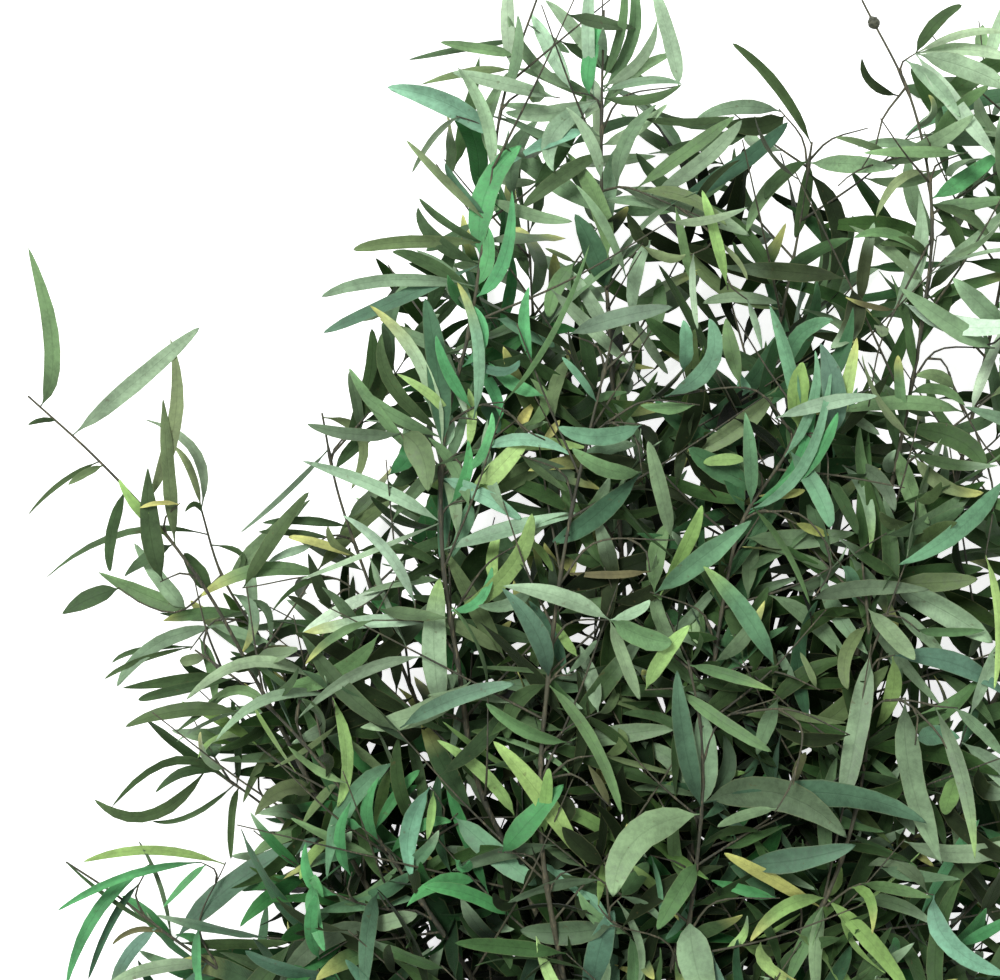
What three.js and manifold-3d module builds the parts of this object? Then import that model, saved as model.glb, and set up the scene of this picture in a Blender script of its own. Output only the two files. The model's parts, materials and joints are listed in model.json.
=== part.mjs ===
// A tied bunch of preserved willow-leaved eucalyptus, lying on its side.
// Millimetres, Z up. The stems are tied at the origin and fan out toward +Y.
// Each leafy stem is one body: wood, side twigs and narrow sickle-shaped leaves.
import * as THREE from "three";
import { mergeVertices } from "three/addons/utils/BufferGeometryUtils.js";
import Module from "manifold-3d";

const wasm = await Module();
wasm.setup();

// The plan view. A plan point is [u, v]: u counts steps to the right and v counts
// steps toward the cut ends, as an eye high above the middle of the bunch sees them.
const PLAN = { step: 0.55, tieU: 640, tieV: 1300, midU: 500, midV: 490, eye: 2000, midZ: 95 };

// The tie: a plain ring of twine round the bare lower stems.
const TIE = { width: 12, inner: 11.4, outer: 13.6, sides: 24, reach: 16 };

// The stems stand in the tie like pencils in a bundle, in rows of 3, 4, 5, 4 and 3.
const SLOT = 4.5;
const STEM = { root: 2.0, tip: 1.3, sides: 5, pieces: 12, spreadY: 44, spreadX: 1.9, spreadZ: 1.75, lift: 6 };
const TWIG = { root: 1.2, tip: 0.9, sides: 3, pieces: 2 };
const LEAF = { stalk: 0.6, stalkThick: 0.7, thick: 1.1, widest: 0.4, free: 0.14 };

// A hand-placed leaf this near to wood, seen from above, grows straight from it.
const STALK_REACH = 12;

// Foliage that is placed by rule stays between the floor and this height.
const ROOM = { floor: 0.8, ease: 14, ceiling: 158, easeTop: 26 };

// The distance that a twig or leaf keeps from the neighbouring stems and their leaves.
const CLEAR = 0.42;

// A leaf placed by hand is built where its tip is this far from the leaves built before it.
const APART = 20;

// How many leaves are built besides those placed by hand.
const LEAVES_BY_RULE = 170;

// How finely a line is measured, in millimetres, and a curve is sampled.
const WOOD_STEP = 3;
const SMOOTH = 12;

// Each stem: its place in the tie, how far it reaches below it, and its route, [u, v, z].
const STEMS = [
  { slot: [-1, 0], cut: 70, route: [
    [552, 1150, 42], [430, 990, 70], [330, 820, 76], [245, 660, 80], [187, 560, 82], [124, 488, 82],
    [72, 434, 80], [28, 396, 78]] },
  { slot: [-1, -2], cut: 62, route: [
    [575, 1120, 24], [475, 960, 28], [385, 820, 32], [300, 700, 38], [240, 605, 44], [212, 555, 46],
    [200, 505, 46]] },
  { slot: [-0.5, -1], cut: 74, route: [
    [595, 1130, 32], [530, 960, 42], [460, 800, 52], [395, 650, 58], [345, 515, 60], [326, 445, 62],
    [322, 413, 64]] },
  { slot: [-0.5, 1], cut: 66, route: [
    [600, 1100, 80], [540, 920, 112], [474, 770, 128], [456, 645, 134], [440, 520, 138],
    [448, 410, 138], [476, 300, 136], [494, 155, 130], [515, 50, 124], [540, -10, 120]] },
  { slot: [0, 0], cut: 78, route: [
    [638, 1080, 58], [636, 880, 84], [630, 690, 92], [618, 500, 96], [608, 300, 100], [600, 180, 106],
    [603, 84, 110], [604, 10, 112]] },
  { slot: [0.5, -1], cut: 64, route: [
    [668, 1090, 34], [690, 900, 50], [712, 720, 58], [735, 550, 64], [768, 380, 70], [797, 240, 76],
    [812, 142, 80]] },
  { slot: [1.5, 1], cut: 71, route: [
    [720, 1090, 78], [790, 900, 108], [842, 720, 118], [884, 520, 120], [918, 350, 118],
    [932, 210, 116], [920, 132, 114], [900, 70, 112], [862, 0, 110]] },
  { slot: [1, -2], cut: 60, route: [
    [718, 1080, 22], [800, 900, 34], [880, 720, 46], [940, 540, 56], [985, 360, 62], [1020, 180, 66],
    [1042, 60, 68], [1050, -20, 70]] },
  { slot: [1, 0], cut: 76, route: [
    [735, 1110, 56], [850, 930, 78], [960, 760, 86], [1050, 590, 90], [1115, 420, 92],
    [1150, 270, 92]] },
  { slot: [1.5, -1], cut: 68, route: [
    [755, 1130, 32], [890, 990, 44], [1020, 850, 52], [1120, 700, 56], [1190, 560, 58]] },
  { slot: [0.5, 1], cut: 63, route: [
    [655, 1060, 92], [688, 880, 126], [706, 730, 142], [722, 610, 150], [745, 515, 154],
    [788, 450, 158], [820, 375, 160]] },
  { slot: [-1.5, 1], cut: 72, route: [
    [560, 1130, 78], [480, 990, 104], [400, 870, 112], [330, 775, 112], [262, 700, 108],
    [195, 650, 102]] },
  { slot: [-2, 0], cut: 67, route: [
    [505, 1184, 36], [380, 1080, 58], [265, 1000, 62], [178, 942, 62], [112, 892, 60], [66, 862, 58]] },
  { slot: [0, 2], cut: 75, route: [
    [662, 1120, 96], [684, 960, 136], [700, 830, 156], [702, 740, 164], [688, 660, 166]] },
  { slot: [1, 2], cut: 61, route: [
    [708, 1110, 94], [770, 990, 128], [830, 890, 148], [862, 780, 152], [870, 660, 150],
    [862, 560, 148]] },
  { slot: [-1, 2], cut: 69, route: [
    [598, 1120, 92], [560, 960, 136], [540, 820, 150], [548, 680, 156], [566, 540, 158],
    [590, 430, 156], [612, 340, 152]] },
  { slot: [-1.5, -1], cut: 65, route: [
    [545, 1120, 34], [440, 980, 36], [345, 880, 36], [270, 810, 36], [205, 765, 36]] },
  { slot: [2, 0], cut: 73, route: [
    [770, 1170, 46], [900, 1080, 58], [1020, 990, 62], [1110, 900, 62]] },
  { slot: [0, -2], cut: 77, route: [
    [632, 1070, 18], [606, 880, 22], [576, 700, 28], [552, 520, 34], [536, 360, 40], [528, 220, 46]] },
];

// Twigs that stand clear of the mass, each [stem number, route of [u, v, z] points].
const SPRIGS = [
  [2, [[222, 575, 50], [178, 612, 56], [143, 604, 58], [118, 587, 58]]],
  [5, [[600, 190, 112], [625, 187, 118], [660, 200, 122], [720, 225, 124]]],
  [5, [[603, 290, 110], [622, 268, 126], [643, 243, 132]]],
  [7, [[873, 157, 112], [855, 172, 114], [838, 186, 114]]],
  [7, [[892, 93, 112], [882, 120, 116], [877, 142, 118], [862, 168, 118]]],
  [7, [[930, 240, 122], [900, 300, 132], [880, 345, 134], [868, 410, 132]]],
  [6, [[800, 158, 84], [830, 140, 90], [868, 128, 92]]],
];

// Leaves that show at the edges and on the face of the bunch, stem by stem: how far their
// tips rise above their bases, in millimetres, and a list of
// [base u, v, a point halfway u, v, tip u, v, width in plan steps].
const LEAVES = [
  { stem: 1, rise: [-6, 14], leaves: [
    [40, 404, 53, 345, 28, 247, 19], [72, 434, 138, 380, 200, 327, 18], [57, 421, 42, 420, 28, 425, 6],
    [96, 462, 60, 481, 28, 515, 6], [100, 466, 84, 474, 68, 485, 8], [124, 490, 104, 535, 110, 572, 12],
    [150, 512, 184, 425, 170, 338, 13], [160, 582, 150, 530, 148, 467, 22],
    [170, 540, 140, 508, 122, 479, 11],
    [177, 545, 158, 470, 164, 398, 15], [185, 545, 160, 508, 141, 508, 5] ] },
  { stem: 2, rise: [-6, 14], leaves: [
    [200, 505, 204, 448, 143, 419, 11], [199, 503, 190, 468, 172, 445, 9], [203, 515, 195, 504, 185, 512, 6],
    [212, 545, 243, 556, 228, 582, 6], [238, 590, 254, 615, 241, 655, 13], [213, 596, 200, 574, 184, 553, 18],
    [195, 614, 165, 585, 134, 543, 16], [198, 618, 150, 596, 98, 572, 18], [205, 535, 120, 530, 44, 580, 8],
    [228, 620, 195, 614, 163, 621, 13], [215, 628, 155, 645, 117, 687, 15], [190, 650, 140, 660, 105, 679, 6],
    [185, 642, 140, 650, 112, 663, 6], [118, 588, 90, 592, 62, 614, 20],
    [225, 668, 172, 672, 122, 688, 12] ] },
  { stem: 12, rise: [-6, 14], leaves: [
    [225, 690, 175, 690, 138, 700, 11], [235, 715, 180, 711, 125, 727, 16],
    [318, 676, 250, 662, 186, 700, 12],
    [335, 698, 268, 698, 215, 742, 11], [250, 715, 195, 722, 153, 742, 7],
    [280, 700, 235, 690, 196, 720, 10] ] },
  { stem: 17, rise: [-6, 14], leaves: [
    [232, 765, 170, 752, 111, 808, 10], [225, 763, 185, 772, 155, 793, 11], [214, 768, 155, 820, 94, 799, 13],
    [235, 790, 198, 808, 150, 820, 6], [245, 775, 226, 815, 231, 860, 8], [290, 826, 262, 826, 232, 808, 16],
    [330, 820, 284, 836, 252, 856, 14] ] },
  { stem: 13, rise: [-6, 14], leaves: [
    [178, 938, 240, 880, 320, 838, 25], [205, 880, 155, 842, 83, 862, 10], [205, 876, 130, 862, 57, 911, 7],
    [180, 890, 104, 892, 68, 985, 12], [150, 915, 112, 940, 92, 985, 9], [178, 930, 178, 895, 160, 870, 8],
    [140, 915, 100, 900, 62, 880, 6], [165, 940, 136, 930, 112, 945, 6], [178, 945, 235, 958, 290, 955, 12],
    [205, 972, 155, 968, 108, 985, 14], [200, 928, 197, 960, 203, 1000, 10] ] },
  { stem: 3, rise: [-6, 14], leaves: [
    [323, 415, 362, 438, 351, 490, 11], [326, 452, 285, 490, 240, 533, 6], [248, 588, 283, 540, 310, 492, 16],
    [330, 540, 292, 533, 258, 532, 8], [350, 560, 318, 543, 288, 537, 9], [345, 565, 300, 578, 272, 612, 8],
    [330, 612, 316, 585, 308, 553, 12], [323, 560, 258, 571, 200, 597, 16],
    [345, 470, 330, 430, 352, 395, 9] ] },
  { stem: 4, rise: [-6, 14], leaves: [
    [440, 522, 378, 483, 302, 461, 14], [430, 522, 362, 556, 300, 580, 6], [441, 718, 434, 645, 440, 578, 24],
    [441, 455, 424, 368, 370, 306, 15], [445, 450, 438, 370, 425, 298, 22], [466, 420, 432, 396, 397, 374, 10],
    [410, 455, 376, 408, 349, 368, 12], [440, 440, 385, 410, 360, 388, 13],
    [425, 445, 365, 424, 307, 424, 12],
    [408, 418, 421, 453, 428, 492, 26], [425, 430, 392, 385, 382, 333, 14],
    [482, 290, 488, 258, 486, 225, 14],
    [485, 300, 504, 260, 512, 190, 14], [467, 255, 486, 192, 522, 145, 25],
    [462, 240, 405, 238, 353, 250, 13],
    [465, 262, 434, 238, 418, 207, 15], [470, 290, 425, 262, 392, 252, 13],
    [462, 285, 388, 280, 321, 297, 13],
    [462, 262, 388, 304, 323, 333, 15], [484, 222, 442, 178, 406, 140, 10],
    [488, 215, 460, 190, 445, 163, 10],
    [480, 240, 445, 222, 419, 198, 8], [485, 130, 428, 128, 412, 173, 6], [500, 140, 450, 100, 387, 87, 22],
    [518, 50, 460, 42, 408, 60, 6], [512, 70, 478, 50, 440, 42, 12], [512, 68, 470, 72, 420, 85, 9],
    [505, 105, 480, 88, 452, 72, 14], [508, 68, 500, 20, 505, -24, 14], [372, 620, 335, 636, 305, 665, 9],
    [430, 612, 365, 619, 300, 635, 13], [415, 600, 388, 552, 342, 515, 12] ] },
  { stem: 4, rise: [4, 26], leaves: [
    [464, 612, 508, 572, 532, 513, 18], [452, 550, 515, 528, 583, 513, 17],
    [455, 478, 485, 496, 522, 520, 16],
    [470, 500, 499, 468, 530, 434, 20], [480, 450, 528, 440, 572, 456, 14],
    [400, 728, 455, 699, 515, 684, 17],
    [478, 420, 478, 345, 457, 282, 12], [505, 402, 552, 335, 590, 243, 6] ] },
  { stem: 5, rise: [-6, 14], leaves: [
    [572, 92, 550, 48, 530, 12, 17], [585, 75, 566, 38, 545, 0, 13], [592, 92, 582, 32, 586, -28, 14],
    [588, 108, 606, 65, 603, 17, 16], [608, 83, 626, 32, 628, -20, 10], [622, 90, 640, 35, 632, -22, 13],
    [612, 88, 640, 60, 657, 20, 12], [650, 120, 684, 55, 655, -15, 15], [606, 92, 645, 76, 682, 84, 10],
    [604, 100, 645, 96, 682, 84, 9], [592, 108, 545, 100, 505, 112, 16], [522, 118, 532, 148, 553, 172, 20],
    [600, 155, 562, 176, 523, 207, 15], [620, 190, 626, 142, 657, 104, 15], [640, 120, 686, 122, 730, 117, 8],
    [642, 182, 690, 150, 735, 116, 15], [652, 188, 704, 160, 742, 120, 15],
    [678, 195, 740, 163, 788, 122, 18],
    [698, 205, 712, 180, 740, 160, 8], [642, 192, 688, 198, 727, 226, 13], [618, 198, 685, 206, 750, 236, 20],
    [728, 290, 716, 240, 702, 190, 12], [607, 292, 595, 252, 575, 214, 24],
    [600, 332, 590, 301, 573, 272, 15],
    [633, 318, 636, 275, 650, 240, 15] ] },
  { stem: 6, rise: [-6, 14], leaves: [
    [812, 142, 782, 80, 732, 43, 11], [800, 160, 768, 190, 745, 235, 14], [798, 160, 778, 178, 765, 200, 12],
    [800, 162, 804, 200, 795, 238, 14], [790, 146, 745, 100, 697, 118, 13],
    [792, 150, 765, 112, 725, 122, 14],
    [770, 305, 722, 288, 690, 252, 15], [830, 172, 848, 230, 818, 292, 18],
    [770, 300, 738, 298, 702, 304, 12] ] },
  { stem: 7, rise: [-6, 14], leaves: [
    [893, 93, 868, 88, 862, 58, 10], [918, 52, 936, 24, 962, 5, 14], [925, 47, 965, 34, 1003, 33, 9],
    [935, 50, 970, 50, 1008, 60, 14], [935, 62, 972, 70, 1010, 90, 22], [908, 66, 938, 88, 960, 118, 15],
    [936, 58, 956, 110, 996, 162, 17], [968, 150, 915, 144, 863, 153, 12], [890, 150, 860, 140, 830, 141, 7],
    [928, 170, 896, 182, 876, 218, 9], [934, 200, 968, 176, 1003, 150, 18],
    [934, 202, 968, 205, 1003, 200, 12],
    [934, 205, 964, 214, 990, 237, 14], [930, 258, 890, 236, 852, 239, 12],
    [935, 262, 907, 243, 880, 245, 12] ] },
  { stem: 7, rise: [4, 26], leaves: [
    [995, 348, 950, 324, 900, 288, 20], [1010, 328, 978, 302, 953, 278, 20],
    [955, 392, 938, 376, 916, 376, 13],
    [895, 308, 868, 306, 845, 297, 7], [897, 425, 900, 388, 898, 355, 11], [965, 416, 905, 403, 840, 412, 16],
    [925, 430, 958, 440, 985, 470, 22], [897, 450, 910, 490, 930, 525, 18],
    [842, 465, 866, 500, 870, 550, 13],
    [855, 452, 878, 478, 895, 512, 16], [1010, 478, 958, 530, 898, 565, 20],
    [895, 585, 946, 612, 993, 643, 26],
    [893, 588, 938, 583, 978, 579, 20], [985, 560, 999, 620, 994, 690, 9] ] },
  { stem: 11, rise: [4, 26], leaves: [
    [745, 515, 798, 462, 815, 370, 12], [750, 512, 806, 462, 832, 360, 11],
    [755, 505, 808, 466, 838, 412, 14],
    [745, 502, 751, 458, 745, 412, 14], [787, 418, 787, 362, 768, 306, 14],
    [836, 440, 834, 388, 820, 343, 24],
    [790, 460, 812, 405, 815, 350, 11], [785, 420, 797, 390, 803, 362, 22],
    [845, 430, 846, 385, 855, 338, 13],
    [775, 418, 830, 402, 878, 396, 14], [806, 460, 818, 493, 830, 528, 18], [757, 512, 786, 550, 810, 605, 6],
    [650, 592, 704, 556, 752, 520, 24], [664, 582, 688, 541, 702, 505, 15],
    [781, 668, 744, 612, 703, 566, 19],
    [705, 658, 744, 637, 765, 600, 15], [662, 397, 709, 364, 709, 318, 19],
    [683, 372, 686, 345, 683, 320, 14] ] },
  { stem: 16, rise: [4, 26], leaves: [
    [565, 333, 618, 318, 673, 307, 17], [645, 425, 600, 437, 558, 427, 17],
    [675, 540, 660, 488, 648, 441, 16],
    [642, 473, 605, 469, 572, 448, 16], [613, 620, 560, 597, 503, 586, 18],
    [567, 683, 537, 634, 502, 588, 22],
    [618, 622, 645, 637, 672, 642, 22], [622, 622, 636, 612, 650, 600, 11],
    [610, 620, 624, 660, 640, 700, 14],
    [562, 688, 592, 740, 622, 815, 12], [588, 866, 539, 794, 493, 741, 20], [545, 838, 546, 800, 549, 768, 13],
    [498, 852, 527, 824, 564, 784, 24], [572, 742, 525, 730, 486, 703, 14],
    [588, 402, 580, 378, 562, 357, 8] ] },
  { stem: 14, rise: [4, 26], leaves: [
    [706, 803, 778, 793, 847, 838, 34], [712, 802, 830, 792, 925, 822, 26],
    [700, 812, 637, 838, 613, 897, 32],
    [702, 806, 684, 740, 677, 670, 20], [704, 806, 706, 757, 700, 712, 24],
    [645, 690, 664, 655, 690, 625, 16],
    [680, 690, 722, 722, 772, 752, 13], [682, 664, 730, 676, 775, 691, 12],
    [588, 1010, 598, 955, 614, 910, 26],
    [692, 918, 696, 965, 712, 1012, 34], [694, 860, 678, 893, 657, 930, 20] ] },
  { stem: 15, rise: [4, 26], leaves: [
    [867, 655, 857, 730, 842, 806, 22], [906, 698, 911, 780, 942, 864, 27], [806, 897, 768, 877, 724, 853, 13],
    [834, 899, 783, 908, 750, 942, 14], [843, 904, 873, 945, 910, 995, 18],
    [934, 895, 948, 942, 1005, 975, 20],
    [742, 864, 798, 860, 856, 845, 24], [862, 884, 896, 889, 932, 898, 12],
    [850, 888, 870, 900, 872, 935, 11],
    [830, 908, 804, 945, 785, 990, 16], [833, 908, 815, 950, 818, 1000, 15],
    [880, 605, 896, 640, 915, 660, 20],
    [858, 625, 846, 655, 848, 690, 14], [937, 707, 963, 780, 975, 860, 15] ] },
  { stem: 12, rise: [4, 26], leaves: [
    [458, 813, 494, 852, 537, 885, 24], [516, 817, 485, 774, 437, 740, 14],
    [402, 757, 346, 806, 327, 880, 20],
    [430, 786, 409, 832, 413, 880, 19], [349, 705, 347, 757, 337, 808, 13], [424, 795, 431, 818, 427, 840, 9],
    [372, 925, 318, 942, 280, 985, 22], [366, 936, 390, 922, 418, 914, 17],
    [378, 892, 367, 935, 365, 1000, 18],
    [309, 880, 314, 915, 325, 952, 15] ] },
  { stem: 5, rise: [-6, 14], leaves: [
    [572, 262, 556, 288, 549, 318, 16], [575, 268, 560, 255, 545, 248, 5],
    [650, 250, 636, 232, 626, 212, 12], [650, 255, 642, 240, 628, 226, 12],
    [652, 255, 668, 258, 686, 254, 10], [672, 222, 684, 248, 690, 278, 10],
    [690, 255, 693, 290, 698, 330, 7], [722, 238, 737, 260, 747, 280, 6],
    [640, 328, 653, 352, 668, 374, 11], [644, 350, 632, 336, 621, 325, 14],
    [748, 300, 756, 325, 762, 350, 7] ] },
  { stem: 16, rise: [-26, -8], leaves: [
    [588, 402, 605, 396, 628, 392, 9], [700, 405, 668, 409, 640, 405, 13],
    [520, 455, 560, 472, 602, 490, 15], [515, 462, 542, 473, 568, 492, 8],
    [630, 490, 590, 520, 552, 542, 22], [650, 572, 610, 575, 565, 573, 8],
    [572, 675, 552, 635, 528, 600, 14], [600, 712, 592, 680, 580, 645, 16],
    [580, 655, 565, 640, 555, 622, 10], [575, 670, 585, 655, 597, 640, 7],
    [604, 720, 612, 702, 620, 675, 10], [568, 690, 525, 670, 475, 667, 5],
    [560, 730, 525, 720, 492, 699, 11], [572, 775, 540, 752, 495, 737, 6],
    [605, 755, 640, 765, 690, 778, 6], [622, 756, 622, 744, 618, 728, 12],
    [612, 808, 600, 785, 588, 765, 8], [530, 680, 515, 705, 508, 740, 16] ] },
  { stem: 4, rise: [-26, -8], leaves: [
    [498, 318, 530, 332, 555, 347, 18], [478, 355, 492, 388, 500, 420, 12],
    [470, 432, 455, 380, 436, 325, 9], [470, 445, 472, 415, 468, 388, 10],
    [478, 390, 490, 412, 500, 435, 14], [525, 432, 545, 405, 530, 378, 12],
    [510, 438, 522, 420, 535, 402, 12], [545, 440, 552, 430, 560, 420, 9],
    [478, 490, 465, 525, 448, 562, 15], [498, 590, 492, 560, 500, 530, 12],
    [530, 538, 542, 552, 553, 572, 8], [448, 465, 445, 510, 440, 560, 14],
    [458, 700, 456, 730, 450, 765, 8], [495, 805, 475, 785, 462, 768, 10] ] },
  { stem: 11, rise: [-26, -8], leaves: [
    [745, 410, 743, 390, 740, 372, 14], [734, 372, 730, 348, 726, 318, 15],
    [747, 460, 724, 460, 703, 463, 13], [770, 505, 785, 494, 802, 490, 9],
    [797, 524, 815, 531, 829, 535, 10], [790, 420, 793, 442, 788, 466, 12],
    [828, 485, 845, 505, 858, 535, 12], [842, 566, 852, 582, 858, 605, 16],
    [812, 600, 860, 588, 930, 590, 16], [652, 580, 657, 552, 671, 520, 18],
    [820, 690, 810, 672, 800, 652, 7], [795, 676, 785, 665, 778, 650, 10] ] },
  { stem: 14, rise: [-26, -8], leaves: [
    [683, 662, 702, 635, 698, 606, 6], [780, 697, 766, 728, 757, 755, 16],
    [765, 700, 800, 716, 848, 723, 9], [850, 735, 810, 740, 775, 728, 14],
    [712, 800, 728, 770, 723, 735, 16], [793, 785, 798, 768, 806, 752, 9],
    [700, 800, 678, 765, 640, 742, 20], [700, 795, 660, 788, 632, 790, 8] ] },
  { stem: 15, rise: [-26, -8], leaves: [
    [895, 655, 892, 695, 876, 728, 16], [900, 610, 920, 632, 945, 655, 14],
    [865, 620, 900, 660, 940, 705, 12] ] },
  { stem: 3, rise: [-6, 14], leaves: [
    [352, 560, 336, 545, 328, 526, 9], [345, 530, 305, 520, 262, 523, 10],
    [310, 548, 290, 552, 268, 562, 9] ] },
  { stem: 2, rise: [-6, 14], leaves: [
    [245, 603, 266, 608, 270, 645, 9], [210, 628, 245, 636, 275, 650, 12],
    [200, 640, 212, 670, 214, 705, 12], [200, 665, 190, 660, 180, 662, 12] ] },
  { stem: 14, rise: [-26, -8], leaves: [
    [610, 925, 565, 933, 520, 930, 24], [612, 1010, 612, 960, 614, 915, 14],
    [603, 918, 578, 888, 538, 862, 13], [598, 905, 603, 872, 613, 838, 8],
    [622, 896, 645, 905, 662, 922, 8], [650, 855, 660, 890, 660, 915, 6],
    [618, 892, 635, 880, 648, 862, 18], [700, 893, 685, 915, 665, 940, 10],
    [633, 912, 640, 945, 638, 985, 8], [605, 862, 580, 845, 562, 825, 18],
    [775, 812, 745, 815, 717, 827, 10], [780, 898, 755, 880, 728, 862, 16],
    [785, 905, 745, 890, 710, 880, 12] ] },
  { stem: 15, rise: [-26, -8], leaves: [
    [832, 900, 838, 880, 837, 862, 10], [795, 925, 775, 930, 757, 938, 5],
    [930, 872, 900, 864, 868, 866, 14], [905, 662, 955, 664, 1005, 695, 22],
    [915, 745, 935, 735, 960, 738, 20], [958, 708, 980, 730, 1003, 755, 12],
    [920, 632, 945, 632, 985, 630, 10], [958, 775, 950, 795, 945, 815, 18] ] },
  { stem: 12, rise: [-26, -8], leaves: [
    [338, 728, 308, 748, 273, 768, 6], [328, 842, 312, 855, 300, 880, 10],
    [305, 870, 315, 878, 325, 895, 10], [330, 905, 360, 898, 400, 865, 9],
    [383, 838, 390, 855, 398, 872, 8], [385, 765, 382, 795, 375, 830, 12],
    [345, 780, 322, 798, 302, 825, 10], [352, 742, 368, 758, 385, 772, 10],
    [440, 890, 437, 915, 440, 940, 26], [388, 588, 345, 607, 302, 633, 12] ] },
  { stem: 5, rise: [-6, 14], leaves: [
    [633, 408, 618, 378, 598, 348, 5] ] },
];

// Buds: [stem number, u, v, radius in millimetres].
const BUDS = [[7, 870, 22, 3.4]];

// The outline that foliage placed by rule keeps inside, as plan points.
const OUTLINE = [
  [400, 1180], [250, 1120], [120, 1050], [78, 990], [84, 925], [130, 888], [215, 872], [232, 830], [205, 785],
  [150, 745], [132, 712], [128, 668], [150, 640], [132, 600], [112, 572], [150, 548], [146, 500], [176, 470],
  [205, 500], [222, 552], [258, 548], [262, 520], [300, 496], [334, 500], [352, 440], [356, 385], [378, 335],
  [340, 312], [350, 288], [392, 282], [372, 254], [432, 240], [424, 205], [446, 186], [420, 160], [412, 140],
  [440, 120], [402, 92], [440, 74], [452, 48], [492, 44], [502, -10], [520, -48], [672, -48], [684, 60],
  [702, 108], [752, 92], [800, 140], [838, 132], [868, 150], [880, 118], [905, 70], [922, 28], [962, 0],
  [1010, -40], [1090, -48], [1165, 30], [1215, 180], [1240, 380], [1235, 590], [1200, 780], [1150, 930],
  [1080, 1040], [980, 1120], [860, 1175], [740, 1205], [560, 1205],
];

// Openings in the foliage where the light shows through, [u, v, radius in plan steps].
const PEEPS = [
  [400, 665, 15], [585, 545, 12], [592, 630, 14], [570, 590, 8], [636, 545, 9], [606, 558, 7], [965, 370, 19],
  [920, 350, 10], [808, 240, 10], [792, 292, 9], [873, 290, 6], [905, 265, 8], [962, 245, 11], [880, 418, 10],
  [905, 515, 9], [978, 525, 9], [972, 440, 12], [945, 567, 6], [962, 645, 11], [950, 698, 11], [232, 790, 8],
  [505, 490, 7], [490, 515, 8], [541, 570, 6], [850, 360, 9], [830, 330, 7], [545, 215, 9], [560, 285, 8],
  [700, 290, 8], [735, 345, 8], [640, 350, 7], [520, 255, 7], [845, 200, 12], [905, 215, 9], [940, 320, 6],
];

// Where the foliage is thinner, [u, v, radius in plan steps, share of its leaves that are there].
const THIN = [
  [300, 560, 100, 0.5], [215, 640, 70, 0.6], [180, 700, 60, 0.7], [560, 590, 85, 0.7], [850, 200, 100, 0.6],
  [930, 400, 90, 0.6], [960, 260, 70, 0.6], [540, 270, 80, 0.75], [640, 50, 90, 0.75], [760, 350, 80, 0.75],
  [960, 640, 90, 0.7], [500, 490, 60, 0.7], [240, 800, 50, 0.6], [900, 540, 60, 0.7], [400, 640, 60, 0.6],
];

// The rule for the rest: side twigs along each stem, leaves along each twig.
const RULE = {
  bare: 95, twigStep: 27, twigLength: [85, 175], twigAngle: [0.45, 1.25],
  firstLeaf: 16, leafStep: 9.5, leafLength: [42, 78], leafAngle: [0.35, 1.45], turn: 2.4,
  leafWidth: [0.115, 0.165], droop: [-0.7, 0.2],
};

const UP = new THREE.Vector3(0, 0, 1);
const TOWARD_TIPS = new THREE.Vector3(0, 1, 0);

// A seeded random draw between two bounds.
function drawFrom(seed) {
  let state = seed >>> 0;
  const draw = (low, high) => {
    state = (Math.imul(state, 1664525) + 1013904223) >>> 0;
    return low + ((high - low) * state) / 4294967296;
  };
  draw(0, 1);
  draw(0, 1);
  draw(0, 1);
  return draw;
}

// The point that the eye sees at plan point u, v, at height z.
function at(u, v, z) {
  const nearer = (PLAN.eye - (z - PLAN.midZ)) / PLAN.eye;
  return new THREE.Vector3(
    (PLAN.midU - PLAN.tieU + (u - PLAN.midU) * nearer) * PLAN.step,
    (PLAN.tieV - PLAN.midV - (v - PLAN.midV) * nearer) * PLAN.step,
    z,
  );
}

// The plan point at which the eye sees a point.
function planOf(p) {
  const nearer = (PLAN.eye - (p.z - PLAN.midZ)) / PLAN.eye;
  return [
    PLAN.midU + (p.x / PLAN.step - (PLAN.midU - PLAN.tieU)) / nearer,
    PLAN.midV - (p.y / PLAN.step - (PLAN.tieV - PLAN.midV)) / nearer,
  ];
}

function insideOutline([u, v]) {
  let inside = false;
  OUTLINE.forEach(([u1, v1], i) => {
    const [u2, v2] = OUTLINE[(i + 1) % OUTLINE.length];
    if (v1 > v !== v2 > v && u < u1 + ((v - v1) / (v2 - v1)) * (u2 - u1)) inside = !inside;
  });
  return inside;
}

function inPeep([u, v]) {
  return PEEPS.some(([pu, pv, r]) => Math.hypot(u - pu, v - pv) < r);
}

// The share of the leaves that are there, near a plan point.
function shareKept([u, v]) {
  return THIN.reduce((least, [tu, tv, r, share]) =>
    (Math.hypot(u - tu, v - tv) < r ? Math.min(least, share) : least), 1);
}

// Height is eased off toward the floor and toward the ceiling, and never passes them.
function eased(p) {
  let z = p.z - ROOM.floor;
  if (z < ROOM.ease) z = ROOM.ease * Math.exp((z - ROOM.ease) / ROOM.ease);
  const knee = ROOM.ceiling - ROOM.easeTop;
  if (z > knee) z = ROOM.ceiling - ROOM.easeTop * Math.exp(-(z - knee) / ROOM.easeTop);
  return new THREE.Vector3(p.x, p.y, z + ROOM.floor);
}

function mix(a, b, share) {
  return a.clone().lerp(b, share);
}

// A point on the bend from a to c that b pulls at.
function bend(a, b, c, t) {
  return mix(mix(a, b, t), mix(b, c, t), t);
}

// The wood that lies nearest to plan point u, v, as { gap, point, line, s }.
function nearestWood(wood, u, v) {
  let best = { gap: Infinity };
  wood.forEach((line) => {
    for (let s = line.from; s <= line.length; s += WOOD_STEP) {
      const { point } = along(line.points, s);
      const goal = at(u, v, point.z);
      const gap = point.distanceTo(goal);
      if (gap < best.gap) best = { gap, point, line, s };
    }
  });
  return best;
}

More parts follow.
